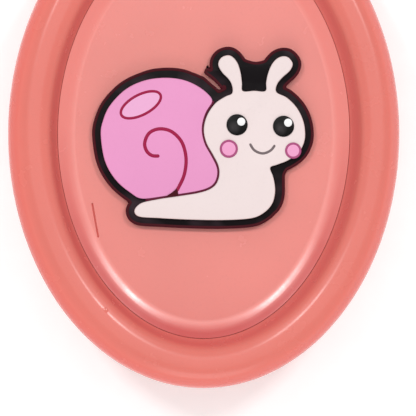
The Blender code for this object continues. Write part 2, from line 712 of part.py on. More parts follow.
def build_blade():
    """A flat steel strip standing in the nose, its teeth in a row along the tape's width."""
    low, high = BLADE_BOTTOM_Z, BLADE_TOP_Z
    pitch = (high - low) / BLADE_TEETH
    points = [(low, BLADE_ROOT_Y)]
    for tooth in range(BLADE_TEETH):
        points.append((low + pitch * tooth, BLADE_GULLET_Y))
        points.append((low + pitch * (tooth + 0.5), BLADE_TIP_Y))
    points += [(high, BLADE_GULLET_Y), (high, BLADE_ROOT_Y)]
    bm = bmesh.new()
    start = BLADE_X - BLADE_THICKNESS / 2.0
    face = bm.faces.new([bm.verts.new((start, y, z)) for z, y in points])
    raised = bmesh.ops.extrude_face_region(bm, geom=[face])["geom"]
    moved = [item for item in raised if isinstance(item, bmesh.types.BMVert)]
    bmesh.ops.translate(bm, vec=(BLADE_THICKNESS, 0.0, 0.0), verts=moved)
    add_part(finish_mesh(bm, "cutter_blade", smooth=False), "cutter_blade", BLADE_STEEL)


def build_lid():
    """The refill lid: a flat panel in a shallow dish, hinged at the mouth end."""
    edge = SEAM_INSET + GAP
    underside = PANEL_Z - PANEL_THICKNESS
    step_z = LEDGE_TOP_Z + GAP
    section = list(LID_RISE)
    section += [(edge, LID_EDGE_TOP_Z), (edge, step_z)]
    section += [(SEAM_INSET + LEDGE_WIDTH + GAP, step_z), (LID_UNDERSIDE_INSET, underside)]
    lid = add_part(oval_mesh(section, "refill_lid", True), "refill_lid", CORAL_LID)
    knuckle_end = HINGE_HALF_GAP - GAP
    hinge = (HINGE_Y, HINGE_Z)
    root_y, root_bottom, root_top = KNUCKLE_ROOT
    join(lid, box_mesh((-knuckle_end, root_y, root_bottom), (knuckle_end, HINGE_Y, root_top)))
    join(lid, cylinder_mesh(KNUCKLE_RADIUS, -knuckle_end, knuckle_end, hinge, "X", 24))
    pin_hole = HINGE_PIN_RADIUS + RUNNING_GAP
    cut(lid, cylinder_mesh(pin_hole, -HINGE_PIN_END, HINGE_PIN_END, hinge, "X", 20))
    for side in (-1.0, 1.0):
        ends = sorted((side * TONGUE_X[0], side * TONGUE_X[1]))
        low = (ends[0], TONGUE_Y[0], TONGUE_BOTTOM_Z)
        join(lid, box_mesh(low, (ends[1], TONGUE_Y[1], underside + 0.5)))
    pin = cylinder_mesh(HINGE_PIN_RADIUS, -HINGE_PIN_END, HINGE_PIN_END, hinge, "X", 20)
    add_part(pin, "lid_hinge_pin", ZINC_STEEL)
    pivot = add_pivot("lid_axis", (0.0, HINGE_Y, HINGE_Z))
    hang(lid, pivot)
    return pivot


def snail_discs():
    """The round pieces that make the snail's head and antennae, as (centre, radius) pairs."""
    discs = [((SNAIL_HEAD[0], SNAIL_HEAD[1]), SNAIL_HEAD[2])]
    for tip in ANTENNA_TIPS:
        discs.append((tip, ANTENNA_TIP_RADIUS))
    return discs


def snail_bars():
    """Rounded bars: antennae, neck and the long foot with its tail, as two discs each."""
    bars = []
    for foot, tip in zip(ANTENNA_FEET, ANTENNA_TIPS):
        bars.append((foot, ANTENNA_RADIUS, tip, ANTENNA_RADIUS))
    return bars + [SNAIL_NECK, SNAIL_FOOT]


def snail_part(name, grow, bottom, top, material, with_shell):
    """The snail's outline, grown by a border, as one flat solid."""
    head, radius = snail_discs()[0]
    mesh = cylinder_mesh(radius + grow, bottom, top, head, steps=40)
    part = add_part(mesh, name, material)
    for centre, tip_radius in snail_discs()[1:]:
        join(part, cylinder_mesh(tip_radius + grow, bottom, top, centre, steps=20))
    for first, first_radius, second, second_radius in snail_bars():
        radii = (first_radius + grow, second_radius + grow)
        join(part, link_mesh(first, radii[0], second, radii[1], bottom, top, 20))
    if with_shell:
        centre = (SNAIL_SHELL[0], SNAIL_SHELL[1])
        join(part, cylinder_mesh(SNAIL_SHELL[2] + grow, bottom, top, centre, steps=48))
    return part


def build_badge(pivot):
    base = snail_part("badge_base", BADGE_BORDER, BADGE_BOTTOM_Z, BADGE_BASE_TOP_Z, BLACK_PVC, True)
    body = snail_part("badge_body", 0.0, INLAY_BOTTOM_Z, INLAY_TOP_Z, CREAM_PVC, False)
    centre = (SNAIL_SHELL[0], SNAIL_SHELL[1])
    disc = cylinder_mesh(SNAIL_SHELL[2], INLAY_BOTTOM_Z, INLAY_TOP_Z, centre, steps=48)
    shell = add_part(disc, "badge_shell", PINK_PVC)
    low, high = INLAY_BOTTOM_Z - 1.0, INLAY_TOP_Z + 1.0
    head, radius = snail_discs()[0]
    cut(shell, cylinder_mesh(radius + INLAY_SEAM, low, high, head, steps=40))
    for first, first_radius, second, second_radius in (SNAIL_NECK, SNAIL_FOOT):
        radii = (first_radius + INLAY_SEAM, second_radius + INLAY_SEAM)
        cut(shell, link_mesh(first, radii[0], second, radii[1], low, high, 20))
    pieces = [base, body, shell]
    for side, eye, cheek in zip(("left", "right"), SNAIL_EYES, SNAIL_CHEEKS):
        disc = cylinder_mesh(EYE_RADIUS, FACE_BOTTOM_Z, FACE_TOP_Z, eye, steps=24)
        pieces.append(add_part(disc, f"badge_eye_{side}", BLACK_PVC))
        shine = (eye[0] + GLINT_SHIFT[0], eye[1] + GLINT_SHIFT[1])
        disc = cylinder_mesh(GLINT_RADIUS, FACE_TOP_Z + 0.1, FACE_TOP_Z + 0.25, shine, steps=16)
        pieces.append(add_part(disc, f"badge_glint_{side}", WHITE_PVC))
        disc = cylinder_mesh(CHEEK_RADIUS, FACE_BOTTOM_Z, FACE_TOP_Z, cheek, steps=24)
        pieces.append(add_part(disc, f"badge_cheek_{side}", BLUSH_PVC))
    for piece in pieces:
        hang(piece, pivot)


def cover_section(bottom, top, inner_inset):
    """A channel open towards the case: the outer wall and its two cheeks."""
    outer = -(COVER_CLEAR + COVER_WALL)
    soft, cheek = COVER_ROUND, COVER_CHEEK
    section = [(outer, bottom + soft), (outer + soft, bottom), (inner_inset, bottom)]
    section += [(inner_inset, bottom + cheek), (-COVER_CLEAR, bottom + cheek)]
    section += [(-COVER_CLEAR, top - cheek), (inner_inset, top - cheek), (inner_inset, top)]
    section += [(outer + soft, top), (outer, top - soft)]
    return section


def build_cover():
    pivot_place = (COVER_PIVOT_X, COVER_PIVOT_Y)
    inner = COVER_INNER_INSET
    outer = -(COVER_CLEAR + COVER_WALL)
    channel = cover_section(COVER_BOTTOM_Z, COVER_TOP_Z, inner)
    mesh = oval_sector_mesh(channel, COVER_END_X, COVER_SIDE_X, 12)
    cover = add_part(mesh, "blade_cover", CORAL_ABS)
    low, high = COVER_BOTTOM_Z + COVER_KNUCKLE_SHIFT, COVER_TOP_Z - COVER_KNUCKLE_SHIFT
    strap = [(outer, low), (-COVER_CLEAR, low), (-COVER_CLEAR, high), (outer, high)]
    join(cover, oval_sector_mesh(strap, COVER_SIDE_X + 1.0, COVER_PIVOT_X, 4))
    wall_low, wall_high = COVER_BOTTOM_Z + GAP, COVER_TOP_Z - GAP
    wall = [(outer + GAP, wall_low), (inner, wall_low)]
    wall += [(inner, wall_high), (outer + GAP, wall_high)]
    join(cover, oval_sector_mesh(wall, COVER_END_X, COVER_END_X - COVER_END_WALL, 2))
    tab_x, tab_y = oval_point(oval_angle(COVER_END_X), outer + 0.6)
    tab = link_mesh((tab_x - 0.6, tab_y), 0.9, (tab_x + 1.8, tab_y), 0.6, *COVER_TAB_Z, 16)
    join(cover, tab)
    join(cover, cylinder_mesh(KNUCKLE_RADIUS, low, high, pivot_place, steps=24))
    pin_hole = COVER_PIN_RADIUS + RUNNING_GAP
    cut(cover, cylinder_mesh(pin_hole, 0.0, 20.0, pivot_place, steps=20))
    hang(cover, add_pivot("cover_axis", (COVER_PIVOT_X, COVER_PIVOT_Y, 0.0)))
    pin_low, pin_high = COVER_BOTTOM_Z + COVER_PIN_SHIFT, COVER_TOP_Z - COVER_PIN_SHIFT
    pin = cylinder_mesh(COVER_PIN_RADIUS, pin_low, pin_high, pivot_place, steps=20)
    add_part(pin, "cover_pin", ZINC_STEEL)


clear_scene()
PARTS = make_collection("tape_dispenser")
CUTTERS = make_collection("cutters")

CORAL_ABS = make_material("coral_abs", CORAL, 0.28)
CORAL_LID = make_material("coral_lid_abs", CORAL, 0.26)
WHITE_ABS = make_material("white_abs", WHITE_PLASTIC, 0.4)
ZINC_STEEL = make_material("zinc_steel", STEEL, 0.35, 1.0)
SPRING_STEEL = make_material("spring_steel", STEEL, 0.3, 1.0)
BLADE_STEEL = make_material("blade_steel", STEEL, 0.22, 1.0)
CARDBOARD = make_material("cardboard", CARD, 0.85)
TAPE_FILM = make_material("tape_film", TAPE_TINT, 0.2)
BLACK_PVC = make_material("black_pvc", INK, 0.45)
PINK_PVC = make_material("pink_pvc", PINK, 0.45)
CREAM_PVC = make_material("cream_pvc", CREAM, 0.45)
BLUSH_PVC = make_material("blush_pvc", BLUSH, 0.45)
WHITE_PVC = make_material("white_pvc", PURE_WHITE, 0.4)

build_back_shell()
build_front_shell()
build_screws()
build_spool()
build_guide_roller()
build_tape_lead()
build_nose()
build_blade()
lid_pivot = build_lid()
build_badge(lid_pivot)
build_cover()
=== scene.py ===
"""Looks of the palm-size oval tape dispenser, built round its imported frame.

Shapes are in millimetres, scaled to metres as each mesh is finished; lengths inside materials are
in metres. Sections of the oval case are (inset, height) points, inset being the distance inwards
from the case's outline. A third number, where there is one, is the radius that rounds the corner.
"""

import json
from math import acos, asin, atan2, cos, degrees, pi, radians, sin, sqrt, tan, tau

import bmesh
import bpy
import numpy as np
from mathutils import Matrix, Vector


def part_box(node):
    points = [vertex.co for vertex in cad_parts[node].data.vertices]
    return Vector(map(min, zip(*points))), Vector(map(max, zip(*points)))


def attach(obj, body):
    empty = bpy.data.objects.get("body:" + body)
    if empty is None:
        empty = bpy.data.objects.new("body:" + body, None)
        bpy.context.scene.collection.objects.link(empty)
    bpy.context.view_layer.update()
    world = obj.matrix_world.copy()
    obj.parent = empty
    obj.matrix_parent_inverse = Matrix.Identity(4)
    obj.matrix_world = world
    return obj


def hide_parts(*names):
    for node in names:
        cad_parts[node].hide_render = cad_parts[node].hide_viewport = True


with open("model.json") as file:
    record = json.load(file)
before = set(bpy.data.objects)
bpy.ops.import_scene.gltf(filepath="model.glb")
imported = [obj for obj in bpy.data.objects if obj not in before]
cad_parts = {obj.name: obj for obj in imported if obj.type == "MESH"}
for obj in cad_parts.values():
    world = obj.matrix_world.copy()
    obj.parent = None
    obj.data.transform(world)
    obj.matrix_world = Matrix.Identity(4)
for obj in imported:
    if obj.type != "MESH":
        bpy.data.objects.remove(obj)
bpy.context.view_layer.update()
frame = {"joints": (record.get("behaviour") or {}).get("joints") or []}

MM = 0.001


def box_mm(node):
    low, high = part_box(node)
    return low / MM, high / MM


def joint_place(name):
    found = [joint for joint in frame["joints"] if joint["name"] == name][0]
    return Vector(found["pos_m"]) / MM


# Sizes read from the frame; upright axes are (x, y) and the lid's hinge, along X, is (y, z)
SHELL_LOW, SHELL_HIGH = box_mm("front_shell")
HALF_WIDTH = SHELL_HIGH.x
HALF_LENGTH = -SHELL_LOW.y
CASE_HEIGHT = SHELL_HIGH.z
SPOOL = tuple(joint_place("spool_spin").xy)
ROLLER = tuple(joint_place("roller_spin").xy)
COVER = tuple(joint_place("cover_hinge").xy)
HINGE = tuple(joint_place("lid_hinge").yz)
ROLL_LOW, ROLL_HIGH = box_mm("tape_roll")
TAPE_BOTTOM, TAPE_TOP = ROLL_LOW.z, ROLL_HIGH.z
ROLL_RADIUS = ROLL_HIGH.x

# Sizes shared by several pieces
SHARP_ANGLE = 38.0
OVAL_STEPS = 288
PANEL_Z = 17.9
PARTING = 11.0
WALL = 1.8
GAP = 0.3
FLOOR = 1.8
SEAM = 7.6
LID_GAP = 0.06
LEDGE_TOP = 17.0
MOUTH_X = (-6.5, 9.3)
MOUTH_Z = (3.2, 16.2)
SCREW_ANGLES = (35.0, 145.0, 235.0, 305.0)
SCREW_INSET = 5.1
SCREW_BORE = 1.25
BOSS_RADIUS = 2.3
PIN_RADIUS = 0.8
PIN_BORE = 0.9
LUG_HEIGHT = 1.9
ROLLER_RADIUS = 2.5
COVER_BOTTOM, COVER_TOP = 2.7, 16.7
BASE_BOTTOM, BASE_TOP = PANEL_Z + 0.02, 19.3
INLAY_TOP = 20.2
EYES = ((5.1, 1.35), (12.2, 1.12))


# Flat shapes


def arc(centre, radius, start, sweep, steps, last=1):
    """Points of an arc at equal steps, the end left out where last is nought."""
    points = []
    for step in range(steps + last):
        angle = start + sweep * step / steps
        points.append((centre[0] + radius * cos(angle), centre[1] + radius * sin(angle)))
    return points


def circle(centre, radius, steps):
    return arc(centre, radius, 0.0, tau, steps, 0)


def fillet(points, closed=True, step=10.0):
    """Points (a, b, radius) as a line whose corners are rounded."""
    line = []
    count = len(points)
    for index, point in enumerate(points):
        radius = point[2] if len(point) > 2 else 0.0
        at_end = not closed and index in (0, count - 1)
        here = Vector(point[:2])
        if radius <= 0.0 or at_end:
            line.append(tuple(here))
            continue
        back = Vector(points[index - 1][:2]) - here
        ahead = Vector(points[(index + 1) % count][:2]) - here
        half = back.angle(ahead) / 2.0
        if half > radians(89.0):
            line.append(tuple(here))
            continue
        reach = min(radius / tan(half), 0.48 * back.length, 0.48 * ahead.length)
        radius = reach * tan(half)
        back.normalize()
        ahead.normalize()
        centre = here + (back + ahead).normalized() * (radius / sin(half))
        start = here + back * reach - centre
        end = here + ahead * reach - centre
        first = atan2(start.y, start.x)
        sweep = atan2(end.y, end.x) - first
        sweep = (sweep + pi) % tau - pi
        line += arc(centre, radius, first, sweep, max(1, round(abs(degrees(sweep)) / step)))
    return line


def spline(points, steps=8, closed=False):
    """A smooth line through the points."""
    count = len(points)
    line = []
    for index in range(count if closed else count - 1):
        near = [index + k for k in (-1, 0, 1, 2)]
        near = [k % count if closed else min(max(k, 0), count - 1) for k in near]
        p0, p1, p2, p3 = [np.array(points[k], float) for k in near]
        for step in range(steps):
            t = step / steps
            value = 2.0 * p1 + (p2 - p0) * t
            value = value + (2.0 * p0 - 5.0 * p1 + 4.0 * p2 - p3) * t * t
            value = value + (3.0 * p1 - p0 - 3.0 * p2 + p3) * t * t * t
            line.append(tuple(value / 2.0))
    if not closed:
        line.append(tuple(points[-1]))
    return line


def quarter(start, end, upright_first, steps):
    """Points of a quarter ellipse from start to end, without start."""
    points = []
    for step in range(1, steps + 1):
        angle = pi / 2.0 * step / steps
        across, along = sin(angle), 1.0 - cos(angle)
        if upright_first:
            across, along = 1.0 - cos(angle), sin(angle)
        points.append((start[0] + (end[0] - start[0]) * across, start[1] + (end[1] - start[1]) * along))
    return points


def even_line(points, spacing, count=None):
    """Points at equal steps along a line, its end left out where a count is given."""
    points = np.array(points, float)
    lengths = np.linalg.norm(np.diff(points, axis=0), axis=1)
    reach = np.concatenate([[0.0], np.cumsum(lengths)])
    steps = count or max(2, int(reach[-1] / spacing))
    wanted = np.linspace(0.0, reach[-1], steps, endpoint=not count)
    return np.stack([np.interp(wanted, reach, points[:, k]) for k in range(points.shape[1])], 1)


def directions(points, closed=False):
    """The unit direction of a line at each of its points."""
    along = np.roll(points, -1, 0) - np.roll(points, 1, 0) if closed else np.gradient(points, axis=0)
    return along / np.linalg.norm(along, axis=1)[:, None]


def link_points(first, first_radius, second, second_radius, steps=20):
    """The outline of a rounded bar round two discs."""
    across = Vector(second) - Vector(first)
    facing = atan2(across.y, across.x)
    side = acos((first_radius - second_radius) / across.length)
    low, high, last = facing - side, facing + side, facing + tau - side
    outline = arc(second, second_radius, low, high - low, steps)
    return outline + arc(first, first_radius, high, last - high, steps)


# Solids


def finish_mesh(bm):
    bmesh.ops.recalc_face_normals(bm, faces=bm.faces)
    bmesh.ops.scale(bm, vec=(MM, MM, MM), verts=bm.verts)
    mesh = bpy.data.meshes.new("piece")
    bm.to_mesh(mesh)
    bm.free()
    mesh.shade_smooth()
    mesh.set_sharp_from_angle(angle=radians(SHARP_ANGLE))
    return mesh


def box_mesh(low, high):
    low, high = Vector(low), Vector(high)
    bm = bmesh.new()
    bmesh.ops.create_cube(bm, size=1.0)
    bmesh.ops.scale(bm, vec=high - low, verts=bm.verts)
    bmesh.ops.translate(bm, vec=(low + high) / 2.0, verts=bm.verts)
    return finish_mesh(bm)


def loft(rings, caps=True, wrap=False, ladder=False):
    """Closed rings joined in order; wrap joins the ends, ladder closes them with rows of quads."""
    bm = bmesh.new()
    made = [[bm.verts.new(point) for point in ring] for ring in rings]
    count = len(made[0])
    pairs = list(zip(made, made[1:]))
    if wrap:
        pairs.append((made[-1], made[0]))
    for lower, upper in pairs:
        for index in range(count):
            after = (index + 1) % count
            bm.faces.new((lower[index], lower[after], upper[after], upper[index]))
    if caps and not wrap:
        for ring in (made[0], made[-1]):
            if not ladder:
                bm.faces.new(ring)
                continue
            for index in range(count // 2 - 1):
                bm.faces.new((ring[index], ring[index + 1], ring[-2 - index], ring[-1 - index]))
    return finish_mesh(bm)


def prism(points, bottom, top):
    return loft([[(x, y, z) for x, y in points] for z in (bottom, top)])


def lathe(profile, centre=(0.0, 0.0), axis="Z", steps=96):
    """A (radius, height) profile turned about an axis; one that starts on the axis is open."""
    bm = bmesh.new()
    rings = []
    for radius, height in profile:
        points = circle((0, 0), radius, steps) if radius > 1e-6 else [(0.0, 0.0)]
        rings.append([bm.verts.new((x, y, height)) for x, y in points])
    pairs = list(zip(rings, rings[1:]))
    if len(rings[0]) > 1:
        pairs.append((rings[-1], rings[0]))
    for lower, upper in pairs:
        for step in range(steps):
            after = (step + 1) % steps
            corners = []
            for ring, index in ((lower, step), (lower, after), (upper, after), (upper, step)):
                corner = ring[index % len(ring)]
                if corner not in corners:
                    corners.append(corner)
            bm.faces.new(corners)
    if axis == "X":
        turn = Matrix.Rotation(radians(90.0), 3, "Y")
        bmesh.ops.rotate(bm, cent=(0, 0, 0), matrix=turn, verts=bm.verts)
    place = (0.0, *centre) if axis == "X" else (*centre, 0.0)
    bmesh.ops.translate(bm, vec=place, verts=bm.verts)
    return finish_mesh(bm)


def rod(radius, start, end, centre, axis="Z", edge=0.0, steps=64):
    """A round bar with rounded ends."""
    profile = [(0.0, start), (radius, start, edge), (radius, end, edge), (0.0, end)]
    return lathe(fillet(profile, False), centre, axis, steps)


def new_object(name, data):
    made = bpy.data.objects.new(name, data)
    bpy.context.scene.collection.objects.link(made)
    return made


def add(mesh, name, material, body, *nodes):
    mesh.name = name
    piece = new_object(name, mesh)
    piece.data.materials.clear()
    piece.data.materials.append(material)
    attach(piece, body)
    if nodes:
        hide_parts(*nodes)
    return piece


def fine(mesh, node, material, body):
    """A piece that takes the place of one frame node."""
    return add(mesh, f"{node}_fine", material, body, node)


def shape(mesh, joins=(), cuts=(), bevel=0.0, sharp=SHARP_ANGLE):
    """The mesh with others joined to it and cut from it, its edges rounded if asked."""
    holder = new_object("shape", mesh)
    tools = []
    for operation, meshes in (("UNION", joins), ("DIFFERENCE", cuts)):
        for tool_mesh in meshes:
            tools.append(new_object("tool", tool_mesh))
            modifier = holder.modifiers.new("cut", "BOOLEAN")
            modifier.operation = operation
            modifier.solver = "EXACT"
            modifier.object = tools[-1]
    if bevel:
        modifier = holder.modifiers.new("edges", "BEVEL")
        modifier.width = bevel * MM
        modifier.segments = 3
        modifier.limit_method = "ANGLE"
        modifier.angle_limit = radians(50.0)
        modifier.use_clamp_overlap = False
    bpy.context.view_layer.update()
    seen = holder.evaluated_get(bpy.context.evaluated_depsgraph_get())
    made = bpy.data.meshes.new_from_object(seen)
    for used in (*tools, holder):
        bpy.data.objects.remove(used)
    made.materials.clear()
    made.shade_smooth()
    made.set_sharp_from_angle(angle=radians(sharp))
    return made


def even_normals(piece):
    """Keeps wide flat faces flat where they meet curved ones."""
    modifier = piece.modifiers.new("normals", "WEIGHTED_NORMAL")
    modifier.keep_sharp = True
    modifier.weight = 80


# The oval


def oval_point(angle, inset):
    c, s = cos(angle), sin(angle)
    normal = Vector((c / HALF_WIDTH, s / HALF_LENGTH)).normalized()
    return HALF_WIDTH * c - normal.x * inset, HALF_LENGTH * s - normal.y * inset


def oval_angle(x):
    return acos(x / HALF_WIDTH)


def oval_mesh(section, capped, lean=None):
    """A section swept round the outline; lean gives how far a point of it is moved aside."""
    angles = [tau * step / OVAL_STEPS for step in range(OVAL_STEPS)]
    rings = []
    for inset, height in section:
        aside = lean(inset, height) if lean else 0.0
        ring = [oval_point(angle, inset) for angle in angles]
        rings.append([(x + aside, y, height) for x, y in ring])
    return loft(rings, caps=capped, wrap=not capped)


def oval_sector(section, from_x, to_x, steps):
    """A closed section swept along the mouth end, from one x to another."""
    first, last = oval_angle(from_x), oval_angle(to_x)
    angles = [first + (last - first) * step / steps for step in range(steps + 1)]
    return loft([[(*oval_point(angle, inset), height) for inset, height in section] for angle in angles])


def screw_places():
    return [oval_point(radians(angle), SCREW_INSET) for angle in SCREW_ANGLES]


# Materials


class Nodes:
    """Short ways to add and join nodes of one material."""

    def __init__(self, name):
        self.material = bpy.data.materials.new(name)
        self.material.use_nodes = True
        self.tree = self.material.node_tree
        self.shader = self.tree.nodes["Principled BSDF"]
        self.place = self.add("ShaderNodeTexCoord", {})["Object"]

    def put(self, value, socket):
        """An output is joined to the socket and a constant is set on the socket itself."""
        if isinstance(value, bpy.types.NodeSocket):
            self.tree.links.new(value, socket)
        elif socket.type == "RGBA":
            socket.default_value = (*value, 1.0)
        else:
            socket.default_value = value

    def set(self, **values):
        for key, value in values.items():
            self.put(value, self.shader.inputs[key.replace("_", " ")])

    def add(self, kind, values, **settings):
        node = self.tree.nodes.new(kind)
        for key, value in settings.items():
            setattr(node, key, value)
        for key, value in values.items():
            self.put(value, node.inputs[key])
        return node.outputs

    def noise(self, scale, detail=3.0, roughness=0.5, stretch=None):
        place = self.place
        if stretch:
            place = self.add("ShaderNodeMapping", {"Vector": place, "Scale": stretch})["Vector"]
        values = {"Vector": place, "Scale": scale, "Detail": detail, "Roughness": roughness}
        return self.add("ShaderNodeTexNoise", values)["Fac"]

    def span(self, value, low, high, from_low=0.3, from_high=0.7):
        values = {"Value": value, "From Min": from_low, "From Max": from_high}
        return self.add("ShaderNodeMapRange", {**values, "To Min": low, "To Max": high})["Result"]

    def blend(self, factor, first, second):
        return self.add("ShaderNodeMix", {"Factor": factor, 6: first, 7: second}, data_type="RGBA")[2]

    def math(self, operation, first, second):
        return self.add("ShaderNodeMath", {0: first, 1: second}, operation=operation)["Value"]

    def vector(self, operation, first, second=(0.0, 0.0, 0.0)):
        return self.add("ShaderNodeVectorMath", {0: first, 1: second}, operation=operation)

    def axis(self, letter):
        return self.add("ShaderNodeSeparateXYZ", {0: self.place})[letter]

    def bump(self, height, strength, distance, normal=None):
        values = {"Strength": strength, "Distance": distance, "Height": height}
        if normal is not None:
            values["Normal"] = normal
        return self.add("ShaderNodeBump", values)["Normal"]

    def soft_edges(self, radius):
        return self.add("ShaderNodeBevel", {"Radius": radius}, samples=4)["Normal"]


def tint(colour, factor):
    return tuple(min(1.0, channel * factor) for channel in colour)


def heights(n, stops, first):
    """Colours by height: a stop is where its colour starts, where it is full, and the colour."""
    height = n.axis("Z")
    for start, full, colour in stops:
        low, high, ends = (start, full, (0.0, 1.0)) if full > start else (full, start, (1.0, 0.0))
        first = n.blend(n.span(height, *ends, low * MM, high * MM), first, colour)
    return first


def rim_painted_light(n, base):
    """The front shell's colour with painted light: a painted highlight near the top of the rolled edge's
    outside, painted shade further down its side, and painted shade on the inner wall down to the lid.
    """
    across = n.math("DIVIDE", n.axis("X"), HALF_WIDTH * MM)
    along = n.math("DIVIDE", n.axis("Y"), HALF_LENGTH * MM)
    reach = n.math("ADD", n.math("MULTIPLY", across, across), n.math("MULTIPLY", along, along))
    inner = n.math("LESS_THAN", reach, RIM_CREST)
    # Painted shade on the rim's inner wall, full from half-way down it
    below = n.span(n.axis("Z"), 1.0, 0.0, 0.0203, 0.0214)
    shade_mask = n.math("MULTIPLY", below, n.span(n.axis("Z"), 0.7, 1.0, 0.0187, 0.0192))
    return n.blend(inner, heights(n, RIM_OUTSIDE_SHADING, base), n.blend(shade_mask, base, RIM_GROOVE_SHADE))


def lid_painted_light(n, base):
    """The lid's colour with painted light: brighter on its slope, as a painted highlight at the slope's
    foot, and painted shade on the slope at the end away from the hinge.
    """
    raised = n.span(n.axis("Z"), 0.0, 1.0, 0.01793, 0.0184)
    # Painted shade on the slope, growing towards the end away from the hinge
    shade_mask = n.math("MULTIPLY", raised, n.span(n.axis("Y"), 1.0, 0.0, -0.024, 0.002))
    return n.blend(shade_mask, heights(n, LID_SLOPE_LIGHT, base), LID_SLOPE_SHADE)


def moulded(name, colour, rough, spread=0.05, soft=0.00012, grain=0.3, gloss=0.5, flow=0.2, tone=None):
    """A moulded plastic: slow colour drift, faint flow lines, fine skin and light rubbing."""
    n = Nodes(name)
    slow = n.span(n.noise(55.0, 2.0), 0.0, 1.0)
    drift = n.blend(slow, tint(colour, 1.0 - spread), tint(colour, 1.0 + spread))
    fleck = n.span(n.noise(2600.0, 2.0), 0.0, 0.25, 0.55, 0.75)
    base = n.blend(fleck, drift, tint(colour, 0.9))
    if tone:
        base = tone(n, base)
    rubbed = n.noise(300.0, 3.0, 0.55)
    skin = n.noise(1500.0, 3.0, 0.6)
    waves = n.noise(160.0, 2.0, 0.5, (1.0, 0.35, 1.0))
    normal = n.bump(skin, grain, 0.00002, n.soft_edges(soft) if soft else None)
    normal = n.bump(waves, flow, 0.00006, normal)
    n.set(Base_Color=base, Roughness=n.span(rubbed, rough - 0.03, rough + 0.05), Normal=normal)
    n.set(Specular_IOR_Level=gloss)
    return n


def pvc(name, colour, rough=0.45, spread=0.08, gloss=0.15, grain=0.6, soft=0.0001):
    return moulded(name, colour, rough, spread, soft, grain, gloss).material


def coral(name, colour, rough, spread, gloss, tone=None):
    """The case's glossy plastic, which lets a little light into its depth."""
    n = moulded(name, colour, rough, spread, 0.0, 0.05, gloss, 0.05, tone)
    n.set(Subsurface_Weight=0.08, Subsurface_Radius=GLOW_REACH, Subsurface_Scale=1.0)
    return n.material


def metal(name, colour, rough, stretch, scratch=0.5):
    """Steel with drawn or turned lines along one direction and patchy shine."""
    n = Nodes(name)
    lines = n.noise(900.0, 4.0, 0.7, stretch)
    patch = n.span(n.noise(240.0, 3.0), 0.0, 1.0)
    normal = n.bump(lines, scratch, 0.00001, n.soft_edges(0.00006))
    n.set(Base_Color=n.blend(patch, tint(colour, 0.86), colour), Normal=normal)
    n.set(Roughness=n.span(lines, rough - 0.08, rough + 0.14), Metallic=1.0)
    return n.material


def cardboard(name, colour):
    n = Nodes(name)
    fibre = n.noise(1800.0, 5.0, 0.7, (1.0, 1.0, 0.25))
    patch = n.span(n.noise(200.0, 3.0), 0.0, 1.0)
    base = n.blend(patch, tint(colour, 0.85), tint(colour, 1.1))
    n.set(Base_Color=n.blend(n.span(fibre, 0.0, 0.6), base, tint(colour, 0.7)))
    n.set(Roughness=n.span(fibre, 0.75, 0.95), Normal=n.bump(fibre, 0.6, 0.00006))
    return n.material


def film(name, colour, through, rings):
    """Clear adhesive film; rings adds the fine edges of the wound layers about the spool."""
    n = Nodes(name)
    cloud = n.span(n.noise(130.0, 3.0), 0.0, 1.0)
    base = n.blend(cloud, tint(colour, 0.93), tint(colour, 1.04))
    streak = n.noise(700.0, 4.0, 0.6, (1.0, 1.0, 0.08))
    height = streak
    if rings:
        shift = n.vector("SUBTRACT", n.place, (SPOOL[0] * MM, SPOOL[1] * MM, 0.0))["Vector"]
        flat = n.vector("MULTIPLY", shift, (1.0, 1.0, 0.0))["Vector"]
        values = {"W": n.vector("LENGTH", flat)["Value"], "Scale": 5200.0, "Detail": 2.0}
        layers = n.add("ShaderNodeTexNoise", values, noise_dimensions="1D")["Fac"]
        base = n.blend(n.span(layers, 0.0, 0.55), base, tint(colour, 0.72))
        height = n.math("ADD", n.math("MULTIPLY", layers, 1.4), streak)
    n.set(Base_Color=base, Roughness=n.span(streak, 0.1, 0.24), Normal=n.bump(height, 0.35, 0.00003))
    n.set(IOR=1.46, Transmission_Weight=through, Coat_Weight=0.4, Coat_Roughness=0.08)
    return n.material


def border_material(name):
    """Black-plum rubber on its top face, greyer in patches; below that, on its rounded side, dark red as a
    painted reflection of the coral case with painted shade.
    """
    n = Nodes(name)
    patches = n.span(n.noise(170.0, 2.0), 0.0, 1.0, 0.48, 0.66)
    top = n.blend(patches, (0.004, 0.002, 0.003), (0.032, 0.018, 0.024))
    # Painted reflection of the coral and painted shade on the border's rounded side, by height
    edge = n.span(n.axis("Z"), 1.0, 0.0, (BASE_TOP - 0.012) * MM, (BASE_TOP - 0.002) * MM)
    normal = n.bump(n.noise(1500.0), 0.6, 0.00002, n.soft_edges(0.0002))
    n.set(Base_Color=n.blend(edge, top, DARK_RED_AND_REFLECTION_COLOUR), Normal=normal)
    n.set(Roughness=n.span(n.noise(420.0, 4.0), 0.42, 0.56), Specular_IOR_Level=0.1)
    return n.material


def eye_material(name):
    """Black soft plastic with a painted reflection: a greyer patch low on the left of each eye."""
    n = Nodes(name)
    # Painted reflection: a grey patch low on the left of each eye's dome
    reaches = []
    for x, y in EYES:
        centre = ((x - 0.45) * MM, (y - 0.4) * MM, 20.5 * MM)
        reaches.append(n.vector("DISTANCE", n.place, centre)["Value"])
    patch = n.span(n.math("MINIMUM", *reaches), 1.0, 0.0, 0.0003, 0.0011)
    reflection_mask = n.math("MULTIPLY", patch, n.span(n.noise(1500.0), 0.55, 1.0))
    n.set(Base_Color=n.blend(reflection_mask, (0.003, 0.003, 0.003), (0.045, 0.04, 0.042)))
    n.set(Roughness=n.span(n.noise(420.0), 0.28, 0.4), Specular_IOR_Level=0.12)
    n.set(Normal=n.bump(n.noise(1500.0), 0.4, 0.00002))
    return n.material


